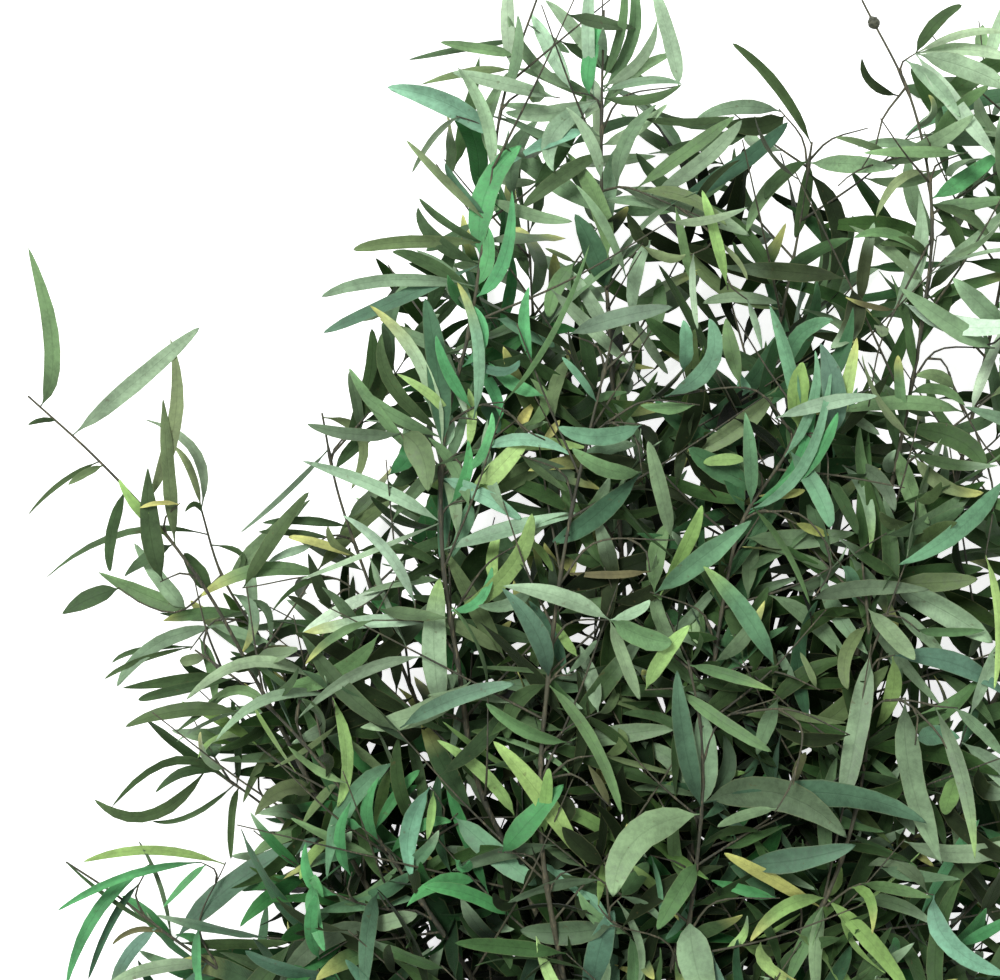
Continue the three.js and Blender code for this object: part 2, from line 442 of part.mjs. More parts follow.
// The point a distance s along a line of points, with the direction there.
function along(points, s) {
  let left = s;
  for (let i = 0; i + 1 < points.length; i++) {
    const length = points[i].distanceTo(points[i + 1]);
    if (left <= length || i + 2 === points.length) {
      return {
        point: mix(points[i], points[i + 1], Math.min(left / length, 1)),
        way: points[i + 1].clone().sub(points[i]).normalize(),
      };
    }
    left -= length;
  }
}

function lengthOf(points) {
  return points.slice(1).reduce((sum, p, i) => sum + p.distanceTo(points[i]), 0);
}

function woodLine(points, from, kind, parent = null) {
  return { points, from, kind, parent, length: lengthOf(points) };
}

// A stem's line: straight through the tie, then spreading, then along its route.
function stemLine(stem) {
  const middle = TIE.outer * Math.cos(Math.PI / TIE.sides);
  const x = stem.slot[0] * SLOT;
  const z = (stem.slot[1] * SLOT * Math.sqrt(3)) / 2;
  const spread = new THREE.Vector3(
    x * STEM.spreadX, STEM.spreadY, middle + STEM.lift + z * STEM.spreadZ);
  const straight = [-stem.cut, -TIE.reach, TIE.reach].map((y) => new THREE.Vector3(x, y, middle + z));
  const fan = new THREE.CatmullRomCurve3(
    [straight[2], spread, ...stem.route.map(([u, v, h]) => at(u, v, h))]);
  const fine = fan.getPoints(SMOOTH * (stem.route.length + 1));
  return [...straight, ...evenPoints(fine, STEM.pieces).slice(1)];
}

// Points at even distances along a finer line.
function evenPoints(fine, pieces) {
  const total = lengthOf(fine);
  return Array.from({ length: pieces + 1 }, (_, i) => along(fine, (total * i) / pieces).point);
}

// A twig that leaves the wood a little below its nearest point and bends to u, v.
function twigTo(near, u, v) {
  const start = Math.max(near.line.from, near.s - 0.6 * near.gap);
  const { point: root, way } = along(near.line.points, start);
  const end = at(u, v, near.point.z + Math.min(0.2 * near.gap, 8));
  const pull = root.clone().addScaledVector(way, 0.5 * root.distanceTo(end));
  return woodLine(curved(root, pull, end), 0.3 * root.distanceTo(end), "placed twig", near.line);
}

function curved(root, pull, end) {
  return Array.from({ length: TWIG.pieces + 1 }, (_, i) => bend(root, pull, end, i / TWIG.pieces));
}

// A leaf's midline bends evenly from base through via to tip; its face looks along face.
function leafFrom(base, via, tip, width, face) {
  const pull = via.clone().multiplyScalar(2).sub(mix(base, tip, 0.5));
  return { base, pull, tip, width, face };
}

// All of one stem's wood and leaves, the hand-placed ones first.
function growStem(stem, number) {
  const draw = drawFrom(7919 * number);
  const main = woodLine(stemLine(stem), stem.cut + RULE.bare, "stem");
  const wood = [main];
  SPRIGS.filter(([owner]) => owner === number).forEach(([, route]) => {
    const { point, line } = nearestWood(wood, route[0][0], route[0][1]);
    wood.push(woodLine([point, ...route.slice(1).map((p) => at(...p))], 0, "placed twig", line));
  });
  const leaves = [];
  LEAVES.filter((group) => group.stem === number).forEach((group) => {
    group.leaves.forEach(([bu, bv, mu, mv, tu, tv, width]) => {
      const rise = draw(...group.rise);
      const roll = draw(-0.45, 0.45);
      const near = nearestWood(wood, bu, bv);
      if (near.gap > STALK_REACH) wood.push(twigTo(near, bu, bv));
      const { point, line } = nearestWood(wood, bu, bv);
      const via = at(mu, mv, point.z + 0.65 * rise);
      const tip = at(tu, tv, point.z + rise);
      const way = tip.clone().sub(point).normalize();
      const face = UP.clone().applyAxisAngle(way, roll);
      leaves.push({ ...leafFrom(point, via, tip, width * PLAN.step, face), line, placed: true });
    });
  });
  growByRule(main, wood, leaves, draw);
  return { stem, number, wood, leaves };
}

// Side twigs at even steps, each turned on from the last, and leaves on both.
function growByRule(main, wood, leaves, draw) {
  const total = main.length;
  let turn = draw(0, 6);
  for (let s = main.from; s < total; s += RULE.twigStep) {
    turn += RULE.turn;
    const { point, way } = along(main.points, s + draw(-6, 6));
    const side = sideways(way, turn, 0.62);
    const angle = draw(...RULE.twigAngle);
    const grown = Math.min(1, 0.45 + (1.1 * (total - s)) / 300);
    const length = draw(...RULE.twigLength) * grown;
    const out = way.clone().multiplyScalar(Math.cos(angle)).addScaledVector(side, Math.sin(angle));
    const end = out.clone().addScaledVector(TOWARD_TIPS, draw(-0.1, 0.55)).normalize();
    const pull = point.clone().addScaledVector(out, 0.5 * length);
    const tip = pull.clone().addScaledVector(end, 0.5 * length);
    const points = curved(point, pull, tip).map((p, i) => (i ? eased(p) : p));
    const line = woodLine(points, RULE.firstLeaf, "twig by rule", main);
    if (insideOutline(planOf(tip))) {
      wood.push(line);
      leavesAlong(line, leaves, draw, line.from);
    }
  }
  leavesAlong(main, leaves, draw, main.from + 0.5 * (total - main.from));
}

function leavesAlong(line, leaves, draw, first) {
  const total = line.length;
  let turn = draw(0, 6);
  for (let s = first; s < total + 0.5 * RULE.leafStep; s += RULE.leafStep) {
    turn += RULE.turn;
    const { point, way } = along(line.points, Math.min(s + draw(-3, 3), total));
    const ending = s > total - RULE.leafStep;
    const angle = draw(...RULE.leafAngle) * (ending ? 0.3 : 1);
    const length = draw(...RULE.leafLength);
    const width = length * draw(...RULE.leafWidth);
    const sickle = draw(-0.13, 0.13) * length;
    const sag = draw(-0.1, 0.1) * length;
    const roll = draw(-1.0, 1.0);
    const droop = draw(...RULE.droop);
    const side = sideways(way, turn, 0.8);
    const out = way.clone().multiplyScalar(Math.cos(angle)).addScaledVector(side, Math.sin(angle));
    out.addScaledVector(TOWARD_TIPS, droop).normalize();
    const across = UP.clone().cross(out).normalize();
    const tip = eased(point.clone().addScaledVector(out, length));
    const via = mix(point, tip, 0.5).addScaledVector(across, sickle);
    via.z += sag;
    const face = UP.clone().applyAxisAngle(out, roll);
    const leaf = { ...leafFrom(point, eased(via), tip, width, face), line, placed: false };
    const plan = [0.5, 0.8, 1].map((t) => planOf(midline(leaf, t)));
    const kept = draw(0, 1) < shareKept(plan[0]);
    if (kept && plan.every(insideOutline) && !plan.some(inPeep)) leaves.push(leaf);
  }
}

// A direction square to way, turned round it, and flattened toward the floor's plane.
function sideways(way, turn, height) {
  const level = way.clone().cross(UP).normalize();
  const steep = level.clone().cross(way);
  const side = level.multiplyScalar(Math.cos(turn)).addScaledVector(steep, height * Math.sin(turn));
  return side.normalize();
}

function midline(leaf, t) {
  return bend(leaf.base, leaf.pull, leaf.tip, t);
}

// A closed solid from rings of equal point counts; the last ring may be one point.
function solidFrom(rings) {
  const vertices = rings.flat();
  const count = rings[0].length;
  const faces = [];
  for (let i = 2; i < count; i++) faces.push([0, i, i - 1]);
  for (let r = 0; r + 1 < rings.length; r++) {
    const near = r * count;
    const far = near + count;
    for (let i = 0; i < count; i++) {
      const next = (i + 1) % count;
      if (rings[r + 1].length === 1) faces.push([near + i, near + next, far]);
      else faces.push([near + i, near + next, far + i], [near + next, far + next, far + i]);
    }
  }
  const last = vertices.length - count;
  if (rings.at(-1).length > 1) for (let i = 2; i < count; i++) faces.push([last, last + i - 1, last + i]);
  const volume = faces.reduce((sum, [a, b, c]) =>
    sum + vertices[a].dot(vertices[b].clone().cross(vertices[c])), 0);
  const outward = volume > 0 ? faces : faces.map(([a, b, c]) => [a, c, b]);
  const mesh = new wasm.Mesh({
    numProp: 3,
    vertProperties: new Float32Array(vertices.flatMap((p) => [p.x, p.y, p.z])),
    triVerts: new Uint32Array(outward.flat()),
  });
  return { body: new wasm.Manifold(mesh), box: new THREE.Box3().setFromPoints(vertices) };
}

// A tapering branch through points; grow widens it all round.
function branch(points, rootRadius, tipRadius, sides, grow = 0) {
  return solidFrom(points.map((p, i) => {
    const before = points[Math.max(i - 1, 0)];
    const after = points[Math.min(i + 1, points.length - 1)];
    const way = after.clone().sub(before).normalize();
    const level = way.clone().cross(UP).normalize();
    const steep = level.clone().cross(way);
    const radius = rootRadius + ((tipRadius - rootRadius) * i) / (points.length - 1) + grow;
    return Array.from({ length: sides }, (_, k) => {
      const angle = (2 * Math.PI * k) / sides;
      return p.clone()
        .addScaledVector(level, radius * Math.cos(angle))
        .addScaledVector(steep, radius * Math.sin(angle));
    });
  }));
}

// A leaf blade: flat below, thickest along its midrib, and a point at its tip.
function blade(leaf, grow = 0, start = 0) {
  const stations = [[start, LEAF.stalk, LEAF.stalkThick], [LEAF.widest, leaf.width / 2, LEAF.thick]];
  const rings = stations.map(([t, half, thick]) => {
    const middle = midline(leaf, t);
    const way = midline(leaf, t + 0.02).sub(midline(leaf, t - 0.02)).normalize();
    const across = levelled(leaf.face.clone().cross(way).normalize(), half, middle.z);
    const face = way.clone().cross(across).normalize();
    const reach = half + 2 * grow;
    return [
      middle.clone().addScaledVector(across, reach).addScaledVector(face, -grow),
      middle.clone().addScaledVector(across, -reach).addScaledVector(face, -grow),
      middle.clone().addScaledVector(face, thick + grow),
    ];
  });
  const tip = midline(leaf, 1);
  const onward = tip.clone().sub(midline(leaf, 0.95)).normalize();
  return solidFrom([...rings, [tip.addScaledVector(onward, 2 * grow)]]);
}

// A round bud about a point on the wood.
function bud(point, radius) {
  const ball = new THREE.IcosahedronGeometry(radius, 0).deleteAttribute("normal").deleteAttribute("uv");
  const round = mergeVertices(ball.translate(point.x, point.y, point.z));
  const vertProperties = round.attributes.position.array;
  const mesh = new wasm.Mesh({ numProp: 3, vertProperties, triVerts: new Uint32Array(round.index.array) });
  const box = new THREE.Box3().setFromBufferAttribute(round.attributes.position);
  return { body: new wasm.Manifold(mesh), box };
}

// Near the floor a blade lies flat enough that neither edge goes below it.
function levelled(across, half, height) {
  const most = Math.max(height - 0.4 * ROOM.floor, 0) / half;
  if (Math.abs(across.z) <= most) return across;
  const level = Math.hypot(across.x, across.y) || 1;
  const z = Math.sign(across.z) * Math.min(most, 1);
  const flat = Math.sqrt(1 - z * z) / level;
  return new THREE.Vector3(across.x * flat, across.y * flat, z);
}

// Whether a body is free of those placed that test picks.
function isFree(solid, placed, test) {
  return placed.every((other) =>
    !test(other)
    || !other.box.intersectsBox(solid.box)
    || solid.body.intersect(other.body).getMesh().triVerts.length === 0);
}

function geometryOf(body) {
  const mesh = body.getMesh();
  const geometry = new THREE.BufferGeometry();
  geometry.setAttribute("position", new THREE.BufferAttribute(mesh.vertProperties, 3));
  geometry.setIndex(outerShell(mesh.triVerts));
  geometry.computeVertexNormals();
  return geometry;
}

// The largest set of faces that hang together: a hollow sealed among roots is filled.
function outerShell(corners) {
  const joined = new Map();
  const rootOf = (corner) => {
    let root = corner;
    while (joined.has(root)) root = joined.get(root);
    return root;
  };
  for (let i = 0; i < corners.length; i++) {
    const [a, b] = [rootOf(corners[i]), rootOf(corners[i - (i % 3)])];
    if (a !== b) joined.set(Math.max(a, b), Math.min(a, b));
  }
  const shells = new Map();
  for (let i = 0; i < corners.length; i += 3) {
    const root = rootOf(corners[i]);
    if (!shells.has(root)) shells.set(root, []);
    shells.get(root).push(...corners.slice(i, i + 3));
  }
  return [...shells.values()].sort((a, b) => b.length - a.length)[0];
}

// The ring of the tie, with its lowest facet flat on the floor.
function tieGeometry() {
  const corner = (radius, i) => {
    const angle = (2 * Math.PI * (i + 0.5)) / TIE.sides;
    return new THREE.Vector2(radius * Math.cos(angle), radius * Math.sin(angle));
  };
  const corners = (radius) => Array.from({ length: TIE.sides }, (_, i) => corner(radius, i));
  const ring = new THREE.Shape(corners(TIE.outer));
  ring.holes.push(new THREE.Path(corners(TIE.inner)));
  const geometry = new THREE.ExtrudeGeometry(ring, { depth: TIE.width, bevelEnabled: false });
  geometry.translate(0, 0, -TIE.width / 2);
  geometry.rotateX(Math.PI / 2);
  geometry.translate(0, 0, TIE.outer * Math.cos(Math.PI / TIE.sides));
  return geometry;
}

const grown = STEMS.map((stem, i) => growStem(stem, i + 1));
const placed = [];
const bodies = new Map(grown.map(({ number }) => [number, null]));

// Every leaf, with the distance from its tip to the nearest leaf built so far.
const foliage = grown.flatMap(({ number, leaves }) => leaves.map((leaf) => ({ number, leaf, gap: Infinity })));

function place(number, solid) {
  placed.push({ ...solid, number });
  const whole = bodies.get(number);
  bodies.set(number, whole ? whole.add(solid.body) : solid.body);
}

// A twig is built where it is clear of the other stems and, past its root, of its own.
function placeTwig(number, line) {
  const twig = (points, grow) => branch(points, TWIG.root, TWIG.tip, TWIG.sides, grow);
  const outer = evenPoints(line.points, 8).slice(1);
  line.built = line.parent.built
    && isFree(twig(line.points, CLEAR), placed, (other) => other.number !== number)
    && isFree(twig(outer, 0), placed, (other) => other.number === number);
  if (line.built) place(number, twig(line.points, 0));
}

// A leaf is built where its twig is, if its blade touches nothing. Says whether it was built.
function placeLeaf({ number, leaf }) {
  const free = leaf.line.built
    && isFree(blade(leaf, CLEAR), placed, (other) => other.number !== number)
    && isFree(blade(leaf, 0, LEAF.free), placed, (other) => other.number === number);
  if (!free) return false;
  place(number, blade(leaf));
  const points = [0.4, 0.7, 1].map((t) => midline(leaf, t));
  foliage.forEach((one) => {
    one.gap = Math.min(one.gap, ...points.map((p) => p.distanceTo(one.leaf.tip)));
  });
  return true;
}

grown.forEach(({ number, wood }) => {
  place(number, branch(wood[0].points, STEM.root, STEM.tip, STEM.sides));
  wood[0].built = true;
});
BUDS.forEach(([number, u, v, radius]) => {
  const { point } = nearestWood(grown[number - 1].wood, u, v);
  place(number, bud(point, radius));
});
grown.forEach(({ number, wood }) => {
  wood.filter((line) => line.kind === "placed twig").forEach((line) => placeTwig(number, line));
});
foliage.filter(({ leaf }) => leaf.placed).forEach((one) => {
  if (one.gap > APART) placeLeaf(one);
});

// The leaves placed by rule are built one by one, each time the one whose tip lies farthest
// from all that is built, so that they are even on all sides and out to the furthest tips.
const byRule = foliage.filter(({ leaf }) => !leaf.placed);
let count = 0;
while (count < LEAVES_BY_RULE && byRule.length > 0) {
  const pick = byRule.reduce((best, one, i) => (one.gap > byRule[best].gap ? i : best), 0);
  const [next] = byRule.splice(pick, 1);
  if (next.leaf.line.built === undefined) placeTwig(next.number, next.leaf.line);
  if (placeLeaf(next)) count += 1;
}

const bunch = new THREE.Group();
grown.forEach(({ number }) => {
  const mesh = new THREE.Mesh(
    geometryOf(bodies.get(number)),
    new THREE.MeshStandardMaterial({ color: 0x4f6b48, roughness: 0.62, metalness: 0 }),
  );
  mesh.name = `leafy_stem_${String(number).padStart(2, "0")}`;
  bunch.add(mesh);
});

const tie = new THREE.Mesh(
  tieGeometry(),
  new THREE.MeshStandardMaterial({ color: 0xb59a6a, roughness: 0.9, metalness: 0 }),
);
tie.name = "twine_tie";
bunch.add(tie);

export default bunch;
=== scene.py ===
"""A tied bunch of preserved willow-leaved eucalyptus, lying on a pale floor and seen from straight above.

Each leafy stem gets two pieces: its wood, and its leaves as thin folded blades. They grow by the same
seeded rule as the part's solids, in finer forms and with many more of the leaves that the rule gives.
Lengths are in millimetres until a mesh is made.
"""
import json
import math

import bpy
import numpy as np
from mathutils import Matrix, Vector

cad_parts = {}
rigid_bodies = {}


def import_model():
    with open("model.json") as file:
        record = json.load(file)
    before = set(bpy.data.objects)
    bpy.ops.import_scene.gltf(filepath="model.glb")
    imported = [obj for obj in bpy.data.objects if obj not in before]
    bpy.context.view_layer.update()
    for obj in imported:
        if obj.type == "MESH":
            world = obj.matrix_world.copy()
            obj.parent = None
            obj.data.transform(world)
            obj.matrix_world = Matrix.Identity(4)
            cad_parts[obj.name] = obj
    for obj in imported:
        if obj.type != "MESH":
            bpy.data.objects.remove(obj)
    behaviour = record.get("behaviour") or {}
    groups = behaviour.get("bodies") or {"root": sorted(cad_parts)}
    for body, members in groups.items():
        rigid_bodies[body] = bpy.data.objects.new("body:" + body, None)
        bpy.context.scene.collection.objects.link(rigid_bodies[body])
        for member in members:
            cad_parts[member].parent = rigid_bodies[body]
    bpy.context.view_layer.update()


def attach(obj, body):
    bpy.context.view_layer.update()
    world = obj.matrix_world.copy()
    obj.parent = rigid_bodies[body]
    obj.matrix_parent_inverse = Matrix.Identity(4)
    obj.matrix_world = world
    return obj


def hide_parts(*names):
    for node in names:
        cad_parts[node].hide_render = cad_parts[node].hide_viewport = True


# The plan view: [u, v] counts steps to the right and toward the cut ends, as seen from high above.
PLAN = {"step": 0.55, "tieU": 640, "tieV": 1300, "midU": 500, "midV": 490, "eye": 2000, "midZ": 95}
PICTURE_WIDTH = 1000
# One millimetre in metres.
MM = 0.001

# The tie, the room that a stem takes in it, and how the stems spread beyond it.
TIE = {"width": 12, "inner": 11.4, "outer": 13.6, "sides": 24, "reach": 16}
SLOT = 4.5
STEM = {"pieces": 12, "spreadY": 44, "spreadX": 1.9, "spreadZ": 1.75, "lift": 6, "smooth": 12}
# Growth eases off toward the floor and toward a ceiling, over so many millimetres.
ROOM = {"floor": 0.8, "ease": 14, "ceiling": 158, "easeTop": 26}
# The step in which places along the wood are looked up.
WOOD_STEP = 3

# A stem's number times these seeds its random draws.
SEEDS = {"growth": 7919, "look": 104729}
# How twigs and leaves grow by rule: steps and lengths in millimetres, angles and turns in radians, and the
# rest as shares of the length.
RULE = {
    "bare": 95, "turn": 2.4, "firstTurn": (0, 6), "twigPieces": 2,
    "twigStep": 27, "twigShift": (-6, 6), "twigLength": (85, 175), "twigAngle": (0.45, 1.25), "twigFlat": 0.62,
    "twigEnd": (-0.1, 0.55), "tipShare": 0.45, "tipGain": 1.1, "tipReach": 300, "leafyFrom": 0.5,
    "firstLeaf": 16, "leafStep": 9.5, "leafShift": (-3, 3), "leafLength": (42, 78), "leafAngle": (0.35, 1.45),
    "lastAngle": 0.3, "leafWidth": (0.115, 0.165), "leafFlat": 0.8, "sickle": (-0.13, 0.13), "sag": (-0.1, 0.1),
    "roll": (-1.0, 1.0), "droop": (-0.7, 0.2), "tested": (0.5, 0.8, 1),
}
# Listed leaves: one farther from the wood than its stalk reaches gets a twig of its own.
PLACED = {
    "roll": (-0.45, 0.45), "middle": 0.65, "stalk": 12,
    "twigBack": 0.6, "twigRise": 0.2, "mostRise": 8, "twigPull": 0.5, "twigBare": 0.3,
}

# Each stem: its place in the tie, how far it reaches below it, and its route, (u, v, z).
STEMS = [
    ((-1, 0), 70, [(552, 1150, 42), (430, 990, 70), (330, 820, 76), (245, 660, 80), (187, 560, 82),
        (124, 488, 82), (72, 434, 80), (28, 396, 78)]),
    ((-1, -2), 62, [(575, 1120, 24), (475, 960, 28), (385, 820, 32), (300, 700, 38), (240, 605, 44),
        (212, 555, 46), (200, 505, 46)]),
    ((-0.5, -1), 74, [(595, 1130, 32), (530, 960, 42), (460, 800, 52), (395, 650, 58), (345, 515, 60),
        (326, 445, 62), (322, 413, 64)]),
    ((-0.5, 1), 66, [(600, 1100, 80), (540, 920, 112), (474, 770, 128), (456, 645, 134), (440, 520, 138),
        (448, 410, 138), (476, 300, 136), (494, 155, 130), (515, 50, 124), (540, -10, 120)]),
    ((0, 0), 78, [(638, 1080, 58), (636, 880, 84), (630, 690, 92), (618, 500, 96), (608, 300, 100),
        (600, 180, 106), (603, 84, 110), (604, 10, 112)]),
    ((0.5, -1), 64, [(668, 1090, 34), (690, 900, 50), (712, 720, 58), (735, 550, 64), (768, 380, 70),
        (797, 240, 76), (812, 142, 80)]),
    ((1.5, 1), 71, [(720, 1090, 78), (790, 900, 108), (842, 720, 118), (884, 520, 120), (918, 350, 118),
        (932, 210, 116), (920, 132, 114), (900, 70, 112), (862, 0, 110)]),
    ((1, -2), 60, [(718, 1080, 22), (800, 900, 34), (880, 720, 46), (940, 540, 56), (985, 360, 62),
        (1020, 180, 66), (1042, 60, 68), (1050, -20, 70)]),
    ((1, 0), 76, [(735, 1110, 56), (850, 930, 78), (960, 760, 86), (1050, 590, 90), (1115, 420, 92),
        (1150, 270, 92)]),
    ((1.5, -1), 68, [(755, 1130, 32), (890, 990, 44), (1020, 850, 52), (1120, 700, 56), (1190, 560, 58)]),
    ((0.5, 1), 63, [(655, 1060, 92), (688, 880, 126), (706, 730, 142), (722, 610, 150), (745, 515, 154),
        (788, 450, 158), (820, 375, 160)]),
    ((-1.5, 1), 72, [(560, 1130, 78), (480, 990, 104), (400, 870, 112), (330, 775, 112), (262, 700, 108),
        (195, 650, 102)]),
    ((-2, 0), 67, [(505, 1184, 36), (380, 1080, 58), (265, 1000, 62), (178, 942, 62), (112, 892, 60),
        (66, 862, 58)]),
    ((0, 2), 75, [(662, 1120, 96), (684, 960, 136), (700, 830, 156), (702, 740, 164), (688, 660, 166)]),
    ((1, 2), 61, [(708, 1110, 94), (770, 990, 128), (830, 890, 148), (862, 780, 152), (870, 660, 150),
        (862, 560, 148)]),
    ((-1, 2), 69, [(598, 1120, 92), (560, 960, 136), (540, 820, 150), (548, 680, 156), (566, 540, 158),
        (590, 430, 156), (612, 340, 152)]),
    ((-1.5, -1), 65, [(545, 1120, 34), (440, 980, 36), (345, 880, 36), (270, 810, 36), (205, 765, 36)]),
    ((2, 0), 73, [(770, 1170, 46), (900, 1080, 58), (1020, 990, 62), (1110, 900, 62)]),
    ((0, -2), 77, [(632, 1070, 18), (606, 880, 22), (576, 700, 28), (552, 520, 34), (536, 360, 40),
        (528, 220, 46)]),
]

# Twigs that stand clear of the mass, each (stem number, route of (u, v, z) points).
SPRIGS = [
    (2, [(222, 575, 50), (178, 612, 56), (143, 604, 58), (118, 587, 58)]),
    (5, [(600, 190, 112), (625, 187, 118), (660, 200, 122), (720, 225, 124)]),
    (5, [(603, 290, 110), (622, 268, 126), (643, 243, 132)]),
    (7, [(873, 157, 112), (855, 172, 114), (838, 186, 114)]),
    (7, [(892, 93, 112), (882, 120, 116), (877, 142, 118), (862, 168, 118)]),
    (7, [(930, 240, 122), (900, 300, 132), (880, 345, 134), (868, 410, 132)]),
    (6, [(800, 158, 84), (830, 140, 90), (868, 128, 92)]),
]

